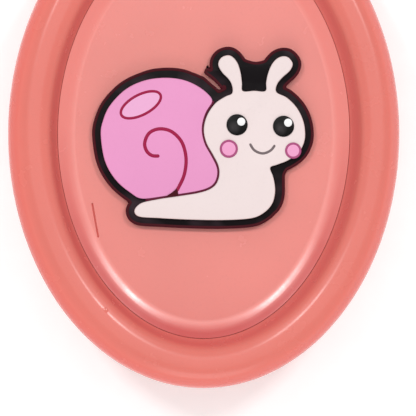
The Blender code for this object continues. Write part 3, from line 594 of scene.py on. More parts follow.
CORAL_COLOUR = (0.80, 0.200, 0.162)
# The coral darkened: painted shade of the case's steep sides
SHADED_SIDE_COLOUR = (0.75968, 0.15968, 0.12934)
# The coral made paler for the lid: partly a painted sheen of its flat panel
LID_COLOUR_WITH_SHEEN = (0.82, 0.245, 0.212)
# Painted highlight at the foot of the lid's slope and painted light further up it, by height
LID_SLOPE_LIGHT = [(17.903, 17.93, (0.90, 0.292, 0.256)), (17.97, 18.08, (0.895, 0.267, 0.234))]
# Painted shade for the lid's slope
LID_SLOPE_SHADE = (0.68, 0.118, 0.112)
# Painted shade for the rim's inner wall
RIM_GROOVE_SHADE = (0.785, 0.168, 0.148)
RIM_CREST = 0.79
# Painted highlight, then painted shade, by height down the outside of the rolled edge
RIM_OUTSIDE_SHADING = [(21.9, 21.4, (0.89, 0.215, 0.175)), (21.4, 20.0, (0.90, 0.142, 0.112))]
RIM_OUTSIDE_SHADING.append((20.0, 17.8, SHADED_SIDE_COLOUR))
GLOW_REACH = (0.002, 0.0006, 0.0004)
# Dark red: a painted reflection of the coral with painted shade on the badge border's side, and also the
# colour of the spiral's foot
DARK_RED_AND_REFLECTION_COLOUR = (0.062, 0.0028, 0.008)

# The back shell and the cutter cover take the darkened side colour, a painted shade
CORAL = coral("coral_plastic", SHADED_SIDE_COLOUR, 0.26, 0.03, 0.24)
CORAL_RIM = coral("coral_rim", CORAL_COLOUR, 0.24, 0.03, 0.36, rim_painted_light)
CORAL_LID = coral("coral_lid", LID_COLOUR_WITH_SHEEN, 0.23, 0.035, 0.55, lid_painted_light)
WHITE = moulded("white_plastic", (0.80, 0.78, 0.74), 0.42, 0.03, grain=0.5).material
BLACK_PVC = border_material("black_pvc")
PINK_PVC = pvc("pink_pvc", (0.83, 0.325, 0.585), 0.5, 0.025, 0.25, 0.8, 0.0002)
CREAM_PVC = pvc("cream_pvc", (0.865, 0.735, 0.725), 0.5, 0.02, 0.25, 0.8, 0.0002)
BLUSH_PVC = pvc("blush_pvc", (0.88, 0.36, 0.60), spread=0.03, gloss=0.3)
RING_PVC = pvc("ring_pvc", (0.42, 0.08, 0.21), spread=0.05, gloss=0.2)
LINE_PVC = pvc("line_pvc", (0.36, 0.008, 0.062))
DARK_LINE_PVC = pvc("dark_line_pvc", (0.12, 0.006, 0.03))
DARK_RED_AND_REFLECTION_PVC = pvc("dark_red_and_reflection_pvc", DARK_RED_AND_REFLECTION_COLOUR, 0.5, gloss=0.1, soft=0.0)
SMILE_PVC = pvc("smile_pvc", (0.18, 0.14, 0.145))
SHINE_PVC = pvc("shine_pvc", (0.85, 0.41, 0.66), spread=0.03, gloss=0.5)
EYE_PVC = eye_material("eye_pvc")
WHITE_PVC = pvc("white_pvc", (0.93, 0.93, 0.93), 0.35, 0.02, 0.5, 0.4)
ZINC = metal("zinc_steel", (0.60, 0.61, 0.63), 0.32, (1.0, 1.0, 0.1))
SPRING = metal("spring_steel", (0.58, 0.58, 0.60), 0.28, (1.0, 0.1, 1.0))
BLADE = metal("blade_steel", (0.66, 0.67, 0.70), 0.2, (1.0, 1.0, 0.08), 0.7)
CARD = cardboard("cardboard", (0.55, 0.41, 0.26))
FILM_ROLL = film("tape_wound", (0.86, 0.80, 0.62), 0.35, True)
FILM = film("tape_film", (0.93, 0.92, 0.86), 0.8, False)


# Case shells


def cover_lug(bottom, top):
    outline = link_points(COVER, 1.7, (COVER[0] + 0.3, COVER[1] - 2.6), 0.8)
    return shape(prism(outline, bottom, top), bevel=0.25)


def mouth_cutter():
    """A cutter for the mouth, a window in the wall that flares towards the outside."""
    rings = []
    for inset, growth in ((-2.0, 0.35), (-0.3, 0.35), (0.0, 0.28), (0.12, 0.1), (0.35, 0.0), (6.0, 0.0)):
        (x0, x1), (z0, z1) = [(low - growth, high + growth) for low, high in (MOUTH_X, MOUTH_Z)]
        r = 0.5 + growth
        outline = fillet([(x0, z0, r), (x1, z0, r), (x1, z1, r), (x0, z1, r)], step=9.0)
        ring = []
        for (u, z), (next_u, next_z) in zip(outline, outline[1:] + outline[:1]):
            parts = max(1, int(abs(next_u - u) / 0.6))
            for part in range(parts):
                t = part / parts
                ring.append((*oval_point(oval_angle(u + (next_u - u) * t), inset), z + (next_z - z) * t))
        rings.append(even_line(ring + ring[:1], None, 160).tolist())
    return loft(rings)


def back_shell():
    parting = PARTING - GAP / 2.0
    lip_inset = WALL - 0.8
    section = [
        (9.6, 0.22), (9.25, 0.16), (9.1, 0.04), (8.95, 0.0), (3.2, 0.0),
        *quarter((3.0, 0.0), (0.0, 3.0), False, 12),
        (0.0, parting - 0.22), (0.06, parting - 0.08), (0.2, parting),
        (lip_inset, parting), (lip_inset, PARTING + 0.85), (lip_inset + 0.12, PARTING + 1.0),
        (WALL - 0.12, PARTING + 1.0), (WALL, PARTING + 0.85), (WALL, FLOOR + 1.5),
        *quarter((WALL, FLOOR + 1.5), (3.0, FLOOR), True, 8),
    ]
    post = [(0.0, 1.3), (4.0, 1.3), (4.0, 13.5), (3.7, 13.8), (0.0, 13.8)]
    bearing = [
        (9.2, FLOOR - 0.4), (10.0, FLOOR - 0.4), (10.0, FLOOR + 0.35), (9.8, FLOOR + 0.45),
        (9.4, FLOOR + 0.45), (9.2, FLOOR + 0.35),
    ]
    recess = [
        (0.0, -1.0), (2.72, -1.0), (2.55, 0.0), (2.25, 0.3), (2.25, 2.4),
        (SCREW_BORE, 2.4), (SCREW_BORE, parting + 1.0), (0.0, parting + 1.0),
    ]
    # Mark of the moulding gate in the middle of the back
    gate = [(0.0, -1.0), (1.6, -1.0), (1.6, 0.22), (1.3, 0.5), (0.45, 0.5), (0.35, 0.35), (0.0, 0.33)]
    joins = [
        *[rod(BOSS_RADIUS, FLOOR - 0.5, parting, place, edge=0.15) for place in screw_places()],
        lathe(post, SPOOL),
        rod(ROLLER_RADIUS, 1.3, 3.0, ROLLER, edge=0.2),
        cover_lug(COVER_BOTTOM, COVER_BOTTOM + LUG_HEIGHT),
        lathe(bearing, SPOOL),
    ]
    cuts = [
        *[lathe(recess, place, steps=60) for place in screw_places()],
        mouth_cutter(),
        rod(SCREW_BORE, 5.0, 14.8, SPOOL, steps=44),
        rod(1.1, 0.9, 4.0, ROLLER, steps=48),
        rod(PIN_BORE, COVER_BOTTOM + 0.6, 5.6, COVER, steps=48),
        lathe(gate, (0.0, 6.0), steps=64),
    ]
    made = shape(oval_mesh(section, True), joins, cuts)
    even_normals(add(made, "case_back", CORAL, "case", "back_shell"))


RIM_SLOPE = [
    (3.8, 21.99), (4.5, 21.96), (4.9, 21.89), (5.35, 21.74), (5.8, 21.55), (6.15, 21.25), (6.4, 20.85),
    (6.62, 20.35), (6.85, 19.8), (7.07, 19.35), (7.3, 18.98), (7.46, 18.8),
]
CREST_LEAN = 0.3


def crest_lean(inset, height):
    """The rolled rim sits a little to one side within the outline."""
    if height < 18.75:
        return 0.0
    rise = min(1.0, max(0.0, (inset - 0.3) / 2.2))
    fall = min(1.0, max(0.0, (7.45 - inset) / 1.1))
    return CREST_LEAN * rise * rise * (3.0 - 2.0 * rise) * fall


def front_shell():
    parting = PARTING + GAP / 2.0
    lip_top = PARTING + 1.0 + GAP
    lip_inset = WALL - 0.8 - GAP
    section = [
        (0.2, parting), (0.06, parting + 0.08), (0.0, parting + 0.22), (0.0, 17.8),
        *quarter((0.0, 17.8), (3.2, CASE_HEIGHT), True, 20),
        *spline(RIM_SLOPE, 4),
        (7.54, 18.7), (SEAM, 18.64), (SEAM, LEDGE_TOP), (8.9, LEDGE_TOP), (8.9, 15.9), (7.2, 15.9),
        (5.6, 18.6), (4.3, 20.1), (3.2, 20.2), (2.2, 19.2), (WALL, 17.8), (WALL, lip_top),
        (lip_inset, lip_top), (lip_inset, parting),
    ]
    well = fillet([(-5.4, 29.0, 0.1), (5.4, 29.0, 0.1), (5.4, 35.2, 1.0), (-5.4, 35.2, 1.0)])
    joins = [
        *[rod(BOSS_RADIUS, parting, 18.4, place) for place in screw_places()],
        box_mesh((-7.2, 31.0, 16.5), (7.2, 36.6, 18.4)),
        rod(1.7, -8.8, -5.4, HINGE, "X", 0.25),
        rod(1.7, 5.4, 8.8, HINGE, "X", 0.25),
        cover_lug(COVER_TOP - LUG_HEIGHT, COVER_TOP),
        # Two small moulding nibs on the rim's inner edge
        disc((-15.0, -27.0), 0.45, 21.0, 21.93, 0.15, 0.05),
        disc((12.8, -30.1), 0.45, 21.0, 21.93, 0.15, 0.05),
    ]
    cuts = [
        mouth_cutter(),
        prism(well, LEDGE_TOP + GAP, CASE_HEIGHT + 1.0),
        rod(PIN_BORE, -8.5, 8.5, HINGE, "X", steps=40),
        *[rod(SCREW_BORE, parting - 1.0, 16.8, place, steps=36) for place in screw_places()],
        rod(PIN_BORE, 13.8, COVER_TOP - 0.6, COVER, steps=48),
    ]
    made = shape(oval_mesh(section, False, crest_lean), joins, cuts)
    even_normals(add(made, "case_front", CORAL_RIM, "case", "front_shell"))


def refill_lid():
    edge = SEAM + LID_GAP
    rise = [(10.5, PANEL_Z), (10.1, 17.93), (9.8, 17.985), (9.5, 18.06), (9.2, 18.145), (8.9, 18.24)]
    section = spline(rise + [(8.3, 18.46)], 5)
    section += [(7.95, 18.6), (edge + 0.03, 18.69), (edge, 18.66), (edge, 17.3), (9.2, 17.3), (9.4, 16.5)]
    # A short weld line left in the panel by the moulding
    weld = spline([(-17.1, -10.6), (-16.8, -12.3), (-16.5, -14.0), (-16.15, -15.9)], 6)
    joins = [
        box_mesh((-5.1, 29.6, 17.45), (5.1, HINGE[0], 19.4)),
        rod(1.6, -5.1, 5.1, HINGE, "X", 0.2),
        shape(box_mesh((-6.5, -28.4, 14.6), (-3.5, -27.4, 17.0)), bevel=0.25),
        shape(box_mesh((3.5, -28.4, 14.6), (6.5, -27.4, 17.0)), bevel=0.25),
    ]
    cuts = [rod(PIN_BORE, -8.2, 8.2, HINGE, "X", steps=40), strip(weld, 0.28, 0.4, PANEL_Z - 0.05)]
    made = shape(oval_mesh(section, True), joins, cuts)
    even_normals(add(made, "lid_panel", CORAL_LID, "lid", "refill_lid"))


# Cutter cover


def cutter_cover():
    outer, clear, inner = -3.9, -2.7, -0.35
    bottom, top = COVER_BOTTOM, COVER_TOP
    section = [(inner, bottom), (outer, bottom, 1.2), (outer, top, 1.2), (inner, top)]
    body = shape(oval_sector(fillet(section, step=12.0), 12.0, -6.5, 48), bevel=0.35)
    hollow = [(clear, bottom + 0.7), (clear, top - 0.7), (2.0, top - 0.7), (2.0, bottom + 0.7)]
    low, high = bottom + 2.2, top - 2.2
    strap = fillet([(outer, low, 0.4), (clear, low, 0.3), (clear, high, 0.3), (outer, high, 0.4)])
    joins = [oval_sector(strap, -5.5, COVER[0], 12), rod(1.6, low, high, COVER, edge=0.2)]
    tab_x, tab_y = oval_point(oval_angle(12.0), outer + 0.6)
    tab = prism(link_points((tab_x - 0.6, tab_y), 0.9, (tab_x + 1.8, tab_y), 0.6), 7.2, 12.2)
    joins.append(shape(tab, bevel=0.3))
    for rib in range(4):
        place = (tab_x + 0.15 + 0.5 * rib, tab_y + 0.82 - 0.06 * rib)
        joins.append(rod(0.16, 7.9, 11.5, place, edge=0.1, steps=16))
    body = shape(body, cuts=[oval_sector(hollow, 10.8, -8.5, 40)])
    made = shape(body, joins, [rod(PIN_BORE, 0.0, 20.0, COVER, steps=48)])
    even_normals(add(made, "cutter_cover", CORAL, "cover", "blade_cover"))


# Spool and tape

ROLL_INNER = 14.1
ROLL_LAYERS = 26
TAPE_END = (0.95, 40.3)
TAPE_CLEAR = 0.25
TEETH = 12


def washer(inner, outer, low, high, inner_edge, outer_edge, steps=96):
    """A flat ring about the spool's axis with rounded edges."""
    profile = [(inner, high, inner_edge), (outer, high, outer_edge)]
    profile += [(outer, low, outer_edge), (inner, low, inner_edge)]
    return lathe(fillet(profile), SPOOL, steps=steps)


def spool_pieces():
    bore = 4.1
    hub = [(bore, 13.8, 0.15), (5.6, 13.8, 0.25), (5.6, 4.6, 0.4), (11.0, 4.6, 0.4), (11.0, 13.0, 0.15)]
    hub += [(12.0, 13.0, 0.2), (12.4, 12.5, 0.3), (12.4, 3.3, 0.2), (16.0, 3.3, 0.25)]
    hub += [(16.0, 2.5, 0.25), (bore, 2.5, 0.1)]
    cuts, joins = [], []
    for turn in (72.0, 108.0, 192.0, 228.0, 312.0, 348.0):
        angle = radians(turn)
        slot = (SPOOL[0] + 11.8 * cos(angle), SPOOL[1] + 11.8 * sin(angle))
        cuts.append(rod(1.0, 6.0, 14.0, slot, steps=32))
    for rib in range(6):
        angle = radians(60.0 * rib + 30.0)
        along = Vector((cos(angle), sin(angle)))
        side = Vector((-along.y, along.x)) * 0.4
        near, far = Vector(SPOOL) + along * 5.2, Vector(SPOOL) + along * 11.3
        joins.append(prism([near - side, far - side, far + side, near + side], 4.3, 8.5))
    made = shape(lathe(fillet(hub), SPOOL, steps=144), joins, cuts)
    even_normals(fine(made, "spool_hub", WHITE, "spool"))
    fine(washer(12.7, 14.0, TAPE_BOTTOM, TAPE_TOP, 0.2, 0.2, 144), "tape_core", CARD, "spool")
    faces = []
    for face, inwards, first, second in ((TAPE_TOP, -1.0, 2.4, 0.7), (TAPE_BOTTOM, 1.0, 1.9, 0.8)):
        points = [(ROLL_INNER, face + inwards * 0.02)]
        for layer in range(1, ROLL_LAYERS):
            radius = ROLL_INNER + (ROLL_RADIUS - ROLL_INNER) * layer / ROLL_LAYERS
            wave = 0.045 * sin(layer * first) * sin(layer * second)
            points.append((radius, face + inwards * 0.06 + wave))
        points += [(ROLL_RADIUS - 0.06, face + inwards * 0.02), (ROLL_RADIUS, face + inwards * 0.08)]
        faces.append(points)
    fine(lathe(faces[0] + faces[1][::-1], SPOOL, steps=192), "tape_roll", FILM_ROLL, "spool")
    fine(washer(4.5, 7.0, 2.0, 2.3, 0.08, 0.1), "brake_washer", SPRING, "case")
    fine(washer(1.3, 6.2, 14.1, 14.6, 0.08, 0.15), "hub_washer", SPRING, "case")


def roller_pieces():
    low, high = 3.3, 15.3
    groove_radius = ROLLER_RADIUS - 0.4
    roller = [(1.1, high, 0.08), (ROLLER_RADIUS, high, 0.3)]
    for groove in (12.3, 6.3):
        roller += [(ROLLER_RADIUS, groove + 0.4, 0.1), (groove_radius, groove + 0.2, 0.1)]
        roller += [(groove_radius, groove - 0.2, 0.1), (ROLLER_RADIUS, groove - 0.4, 0.1)]
    roller += [(ROLLER_RADIUS, low, 0.3), (1.1, low, 0.08)]
    pin = [(0.0, 16.1), (1.7, 16.1, 0.25), (1.7, 15.6, 0.05), (1.0, 15.6), (1.0, 1.2, 0.2), (0.0, 1.2)]
    fine(lathe(fillet(roller), ROLLER, steps=72), "guide_roller", WHITE, "roller")
    fine(lathe(fillet(pin, False), ROLLER, steps=48), "guide_pin", ZINC, "case")


def tangent_angle(start, start_radius, end, end_radius):
    across = Vector(end) - Vector(start)
    return atan2(across.y, across.x) + asin((start_radius - end_radius) / across.length)


def right_of(centre, angle, distance):
    return (centre[0] + sin(angle) * distance, centre[1] - cos(angle) * distance)


def tape_path():
    """Middle line of the loose tape: off the roll, round the roller, out to the cutter."""
    roll, turn = ROLL_RADIUS + TAPE_CLEAR, ROLLER_RADIUS + TAPE_CLEAR
    off_roll = tangent_angle(SPOOL, roll, ROLLER, turn)
    off_roller = tangent_angle(ROLLER, turn, TAPE_END, 0.0)
    points = [right_of(SPOOL, off_roll - radians(9.0 - step), roll) for step in range(10)]
    for step in range(9):
        points.append(right_of(ROLLER, off_roll + (off_roller - off_roll) * step / 8.0, turn))
    return points + [TAPE_END]


def tape_lead():
    """The loose tape, a thin film whose cut end repeats the cutter's teeth."""
    path = even_line(tape_path(), 0.5)
    across = 48
    thick = 0.1
    rings = []
    for row, (point, tangent) in enumerate(zip(path, directions(path))):
        normal = np.array((-tangent[1], tangent[0]))
        faces = []
        for side in (-1.0, 1.0):
            line = []
            for column in range(across + 1):
                share = column / across
                place = point + normal * side * thick / 2.0
                if row == len(path) - 1:
                    tooth = abs((share * TEETH) % 1.0 - 0.5) * 2.0
                    place = place - tangent * 0.5 * tooth
                line.append((*place, TAPE_BOTTOM + (TAPE_TOP - TAPE_BOTTOM) * share))
            faces.append(line)
        rings.append(faces[0] + faces[1][::-1])
    fine(loft(rings, ladder=True), "tape_lead", FILM, "case")


def nose_and_blade():
    before, tip = [Vector(point) for point in tape_path()[-2:]]
    along = (tip - before).normalized()
    inwards = Vector((-along.y, along.x)) * 0.25
    start = tip - along * 10.6 + inwards
    end = tip - along * 0.9 + inwards
    bottom, top = MOUTH_Z[0] + GAP, MOUTH_Z[1] - GAP
    left = MOUTH_X[0] + GAP
    # The narrow notch in the outline holds the blade
    outline = [(start.x, start.y, 0.6), (end.x, end.y, 0.3), (0.85, 39.95), (0.6, 39.95), (0.6, 36.1)]
    outline += [(0.0, 36.1), (0.0, 39.95), (-0.5, 39.95, 0.3)]
    outline += [(-1.8, 39.4, 0.8), (left, 38.5, 0.8), (left, 34.6, 0.8), (1.4, 33.4, 0.6)]
    block = shape(prism(fillet(outline), bottom, top), bevel=0.1)
    ribs = [start + (end - start) * (0.2 + 0.15 * rib) for rib in range(5)]
    cuts = [rod(0.22, bottom - 1.0, top + 1.0, middle, steps=24) for middle in ribs]
    for pocket in (-4.6, -2.4):
        tool = box_mesh((pocket - 0.7, 35.6, top - 5.0), (pocket + 0.7, 38.0, top + 1.0))
        cuts.append(shape(tool, bevel=0.2))
    even_normals(fine(shape(block, (), cuts), "nose_block", WHITE, "case"))
    low, high = box_mm("cutter_blade")
    pitch = (high.z - low.z) / (2 * TEETH)
    rings = []
    for step in range(2 * TEETH + 1):
        edge = 41.1 if step % 2 else 40.3
        outline = [(high.x, low.y), (high.x, 39.6), (low.x + 0.06, edge), (low.x, edge), (low.x, low.y)]
        rings.append([(x, y, low.z + pitch * step) for x, y in outline])
    fine(loft(rings), "cutter_blade", BLADE, "case")


# Screws and pins


def screw_mesh(place, bottom, height, radius, shank_end):
    """A pan-head screw with a cross recess; the shank runs up or down from the head."""
    up = shank_end > bottom + height
    flip = 1.0 if up else -1.0
    face = bottom if up else bottom + height
    seat = face + flip * height
    profile = [(0.0, face), (radius * 0.55, face + flip * 0.03)]
    profile += [(radius * 0.85, face + flip * 0.22), (radius, face + flip * 0.6)]
    profile += [(radius, seat), (1.0, seat)]
    level = seat + flip * 1.2
    while abs(shank_end - level) > 1.4:
        profile += [(0.82, level), (1.0, level + flip * 0.2), (1.0, level + flip * 0.28)]
        level += flip * 0.55
    profile += [(0.8, shank_end - flip * 1.0), (0.0, shank_end)]
    arm, half = radius * 0.55, 0.2
    cuts = []
    for long_x, long_y in ((arm, half), (half, arm)):
        rings = []
        for depth, share in ((-0.5, 1.0), (0.1, 1.0), (0.75, 0.55)):
            x, y = long_x * share, long_y * share
            corners = ((-x, -y), (x, -y), (x, y), (-x, y))
            rings.append([(place[0] + a, place[1] + b, face + flip * depth) for a, b in corners])
        cuts.append(loft(rings))
    return shape(lathe(profile, place, steps=48), (), cuts)


def fasteners():
    for index, place in enumerate(screw_places(), 1):
        fine(screw_mesh(place, 0.7, 1.4, 2.0, 16.0), f"case_screw_{index}", ZINC, "case")
    fine(screw_mesh(SPOOL, 14.75, 1.3, 2.4, 7.0), "hub_screw", ZINC, "case")
    fine(rod(PIN_RADIUS, -8.2, 8.2, HINGE, "X", 0.15, 40), "lid_hinge_pin", ZINC, "case")
    pin = rod(PIN_RADIUS, COVER_BOTTOM + 0.9, COVER_TOP - 0.9, COVER, "Z", 0.15, 40)
    fine(pin, "cover_pin", ZINC, "case")


# Badge: a snail in soft plastic

BORDER = 1.33
CORNER = 1.1
SHELL_INSET = 0.17
INLAY_GAP = 0.2
INLAY_EDGE = 0.16
INLAY_BOTTOM = BASE_TOP - 0.1
EYE_RADIUS, GLINT_RADIUS = 1.62, 0.62
GRID_STEP = 0.1
STRIP_STEP = 0.12
SHINE_CENTRE = (-9.6, 4.4)
GRID_X = np.arange(-19.5, 19.5, GRID_STEP)
GRID_Y = np.arange(-17.0, 16.0, GRID_STEP)

BODY_OUTLINE = [
    (0.0, 0.6), (0.5, 2.75), (1.75, 4.6), (3.3, 5.65), (4.35, 6.15), (4.35, 7.3), (3.85, 8.3),
    (2.8, 9.4), (2.22, 10.6), (2.75, 11.65), (4.0, 11.95), (5.05, 11.0), (5.6, 9.5), (5.85, 7.8),
    (5.97, 6.5), (7.7, 6.55), (9.45, 6.5), (9.55, 7.8), (9.87, 9.3), (10.5, 10.7), (11.5, 11.65),
    (12.75, 11.75), (13.6, 10.75), (13.2, 9.65), (12.1, 8.65), (11.25, 7.6), (11.1, 6.35), (12.7, 5.5),
    (14.2, 4.0), (15.15, 2.15), (15.5, 0.3), (15.35, -1.3), (14.5, -2.9), (12.85, -4.1), (11.2, -4.75),
    (10.15, -5.2), (10.55, -6.4), (10.85, -7.7), (10.9, -9.1), (10.45, -10.75), (9.2, -12.1),
    (7.2, -12.95), (2.7, -13.22), (-2.8, -13.12), (-7.0, -12.9), (-9.8, -12.7), (-10.6, -11.95),
    (-10.15, -11.05), (-9.05, -10.45), (-6.4, -9.92), (-3.65, -9.52), (-0.95, -9.08), (0.9, -8.5),
    (1.95, -7.6), (2.38, -6.2), (2.2, -4.8), (1.4, -3.2), (0.4, -1.4),
]
SHELL_OUTLINE = [
    (-15.9, -0.3), (-15.6, 1.9), (-14.5, 4.35), (-12.1, 6.85), (-9.2, 8.25), (-6.0, 8.7), (-3.0, 8.35),
    (-0.5, 7.2), (1.3, 5.6), (2.6, 3.4), (3.5, 0.0), (3.5, -5.0), (2.0, -8.6), (-3.0, -10.2),
    (-8.6, -10.5), (-11.6, -8.95), (-13.8, -6.9), (-15.3, -4.1),
]
WEB_OUTLINES = [
    [(4.3, 6.0), (4.6, 12.0), (6.5, 11.35), (8.0, 11.0), (9.6, 11.35), (11.6, 12.0), (11.0, 6.0)],
    [
        (0.6, 10.7), (0.9, 9.9), (1.7, 10.0), (3.0, 9.0), (3.3, 7.0), (2.75, 6.9), (1.3, 8.35), (0.0, 9.35),
        (0.3, 9.9),
    ],
    [(-1.6, 8.6), (-0.3, 8.85), (1.1, 7.75), (2.4, 6.55), (2.6, 5.5), (0.5, 5.5), (-1.5, 7.0)],
    [
        (10.5, -5.0), (12.8, -5.2), (12.45, -6.3), (12.42, -7.6), (12.4, -9.3), (12.05, -10.8),
        (11.2, -12.1), (9.7, -13.15), (8.0, -13.8), (6.0, -13.0), (9.5, -10.0), (10.5, -7.0),
    ],
    [
        (-11.4, 8.5), (-8.5, 9.75), (-5.8, 10.1), (-3.5, 9.95), (-1.85, 9.45), (-0.3, 8.65), (-1.5, 7.5),
        (-6.0, 8.5), (-11.0, 7.5),
    ],
]
SPIRAL = [
    (-6.75, -3.42), (-7.9, -3.35), (-8.75, -2.6), (-9.0, -1.35), (-8.3, 0.1), (-6.75, 0.72), (-4.9, 0.3),
    (-3.35, -1.3), (-2.7, -3.7), (-2.95, -6.2), (-3.85, -8.25), (-4.3, -8.9),
]
SPIRAL_FOOT = [
    (-4.1, -8.4), (-3.98, -8.75), (-3.88, -9.2), (-4.0, -9.5), (-6.0, -9.74), (-5.4, -9.35), (-4.85, -9.0),
    (-4.45, -8.65),
]
SMILE = [(7.05, -1.52), (7.75, -2.55), (9.0, -3.03), (10.2, -2.6), (10.9, -1.75)]
SEAM_LINE = [
    (1.55, 4.95), (0.35, 3.1), (-0.17, 0.9), (0.2, -1.35), (1.22, -3.3), (2.02, -4.9), (2.2, -6.2),
    (1.78, -7.5), (0.8, -8.35), (-0.98, -8.9), (-3.7, -9.34), (-6.4, -9.74), (-8.9, -10.2),
]
GLINTS = ((5.74, 1.82), (12.9, 1.66))
CHEEKS = ((3.84, -2.32), (13.68, -2.6))


def signed_distance(outline):
    """Distance from a closed outline on the badge's grid, negative inside it."""
    xs, ys = np.meshgrid(GRID_X, GRID_Y, indexing="ij")
    nearest = np.full(xs.shape, 1e9)
    inside = np.zeros(xs.shape, bool)
    for (ax, ay), (bx, by) in zip(outline, outline[1:] + outline[:1]):
        dx, dy = bx - ax, by - ay
        squared = max(dx * dx + dy * dy, 1e-12)
        along = np.clip(((xs - ax) * dx + (ys - ay) * dy) / squared, 0.0, 1.0)
        gap = (xs - ax - along * dx) ** 2 + (ys - ay - along * dy) ** 2
        nearest = np.minimum(nearest, gap)
        if ay != by:
            crosses = (ay > ys) != (by > ys)
            inside ^= crosses & (xs < ax + (ys - ay) * dx / dy)
    return np.where(inside, -1.0, 1.0) * np.sqrt(nearest)


def contour(field):
    """The longest loop along which the field is nought."""
    sign = field < 0.0
    inside = sign * 1
    corners = inside[:-1, :-1] + inside[1:, :-1] + inside[1:, 1:] + inside[:-1, 1:]
    cells = np.argwhere((corners > 0) & (corners < 4))
    places, links = {}, {}

    def crossing(a, b):
        key = (min(a, b), max(a, b))
        if key not in places:
            t = field[a] / (field[a] - field[b])
            x = GRID_X[a[0]] + (GRID_X[b[0]] - GRID_X[a[0]]) * t
            y = GRID_Y[a[1]] + (GRID_Y[b[1]] - GRID_Y[a[1]]) * t
            places[key] = (x, y)
        return key

    for i, j in cells.tolist():
        corners = [(i, j), (i + 1, j), (i + 1, j + 1), (i, j + 1)]
        sides = zip(corners, corners[1:] + corners[:1])
        keys = [crossing(a, b) for a, b in sides if sign[a] != sign[b]]
        for first, second in zip(keys[::2], keys[1::2]):
            links.setdefault(first, []).append(second)
            links.setdefault(second, []).append(first)
    left = set(links)
    best = []
    while left:
        loop, here = [], min(left)
        while here in left:
            left.discard(here)
            loop.append(places[here])
            here = next((key for key in links[here] if key in left), None)
        if len(loop) > len(best):
            best = loop
    return best


def smooth_loop(loop, spacing=0.2, rounds=2):
    points = np.array(loop, float)
    for _ in range(rounds):
        points = (np.roll(points, 1, 0) + 2.0 * points + np.roll(points, -1, 0)) / 4.0
    made = even_line(np.vstack([points, points[:1]]), spacing)[:-1]
    return [tuple(p) for p in made]


def pad(loop, bottom, top, edge):
    """A flat raised shape with rounded edges."""
    return shape(prism(loop, bottom, top), bevel=edge, sharp=60.0)


def disc(centre, radius, bottom, top, edge, dome):
    """A round button with a rounded edge and a slightly domed top."""
    profile = [(0.0, bottom), (radius, bottom), (radius, top - edge)]
    for step in range(1, 6):
        angle = pi / 2.0 * step / 5.0
        profile.append((radius - edge * (1.0 - cos(angle)), top - edge + edge * sin(angle)))
    rim = radius - edge
    for step in range(1, 6):
        share = 1.0 - step / 5.0
        profile.append((rim * share, top + dome * (1.0 - share * share)))
    return lathe(profile, centre, steps=64)


def strip(line, width, height, base, closed=False):
    """A low rounded line along a path, with round ends."""
    points = even_line(line + line[:1] if closed else line, STRIP_STEP)
    points = points[:-1] if closed else points
    reach = np.arange(len(points)) * STRIP_STEP
    half = width / 2.0
    rings = []
    for index, (point, tangent) in enumerate(zip(points, directions(points, closed))):
        near = min(reach[index], reach[-1] - reach[index]) + 0.02
        grow = 1.0 if closed or near >= half else sqrt(max(0.04, 1.0 - (1.0 - near / half) ** 2))
        normal = (-tangent[1], tangent[0])
        ring = []
        for step in range(12):
            angle = tau * step / 12.0
            side = cos(angle) * half * grow
            up = sin(angle) * height * grow
            ring.append((point[0] + normal[0] * side, point[1] + normal[1] * side, base + up))
        rings.append(ring)
    return loft(rings, wrap=closed)


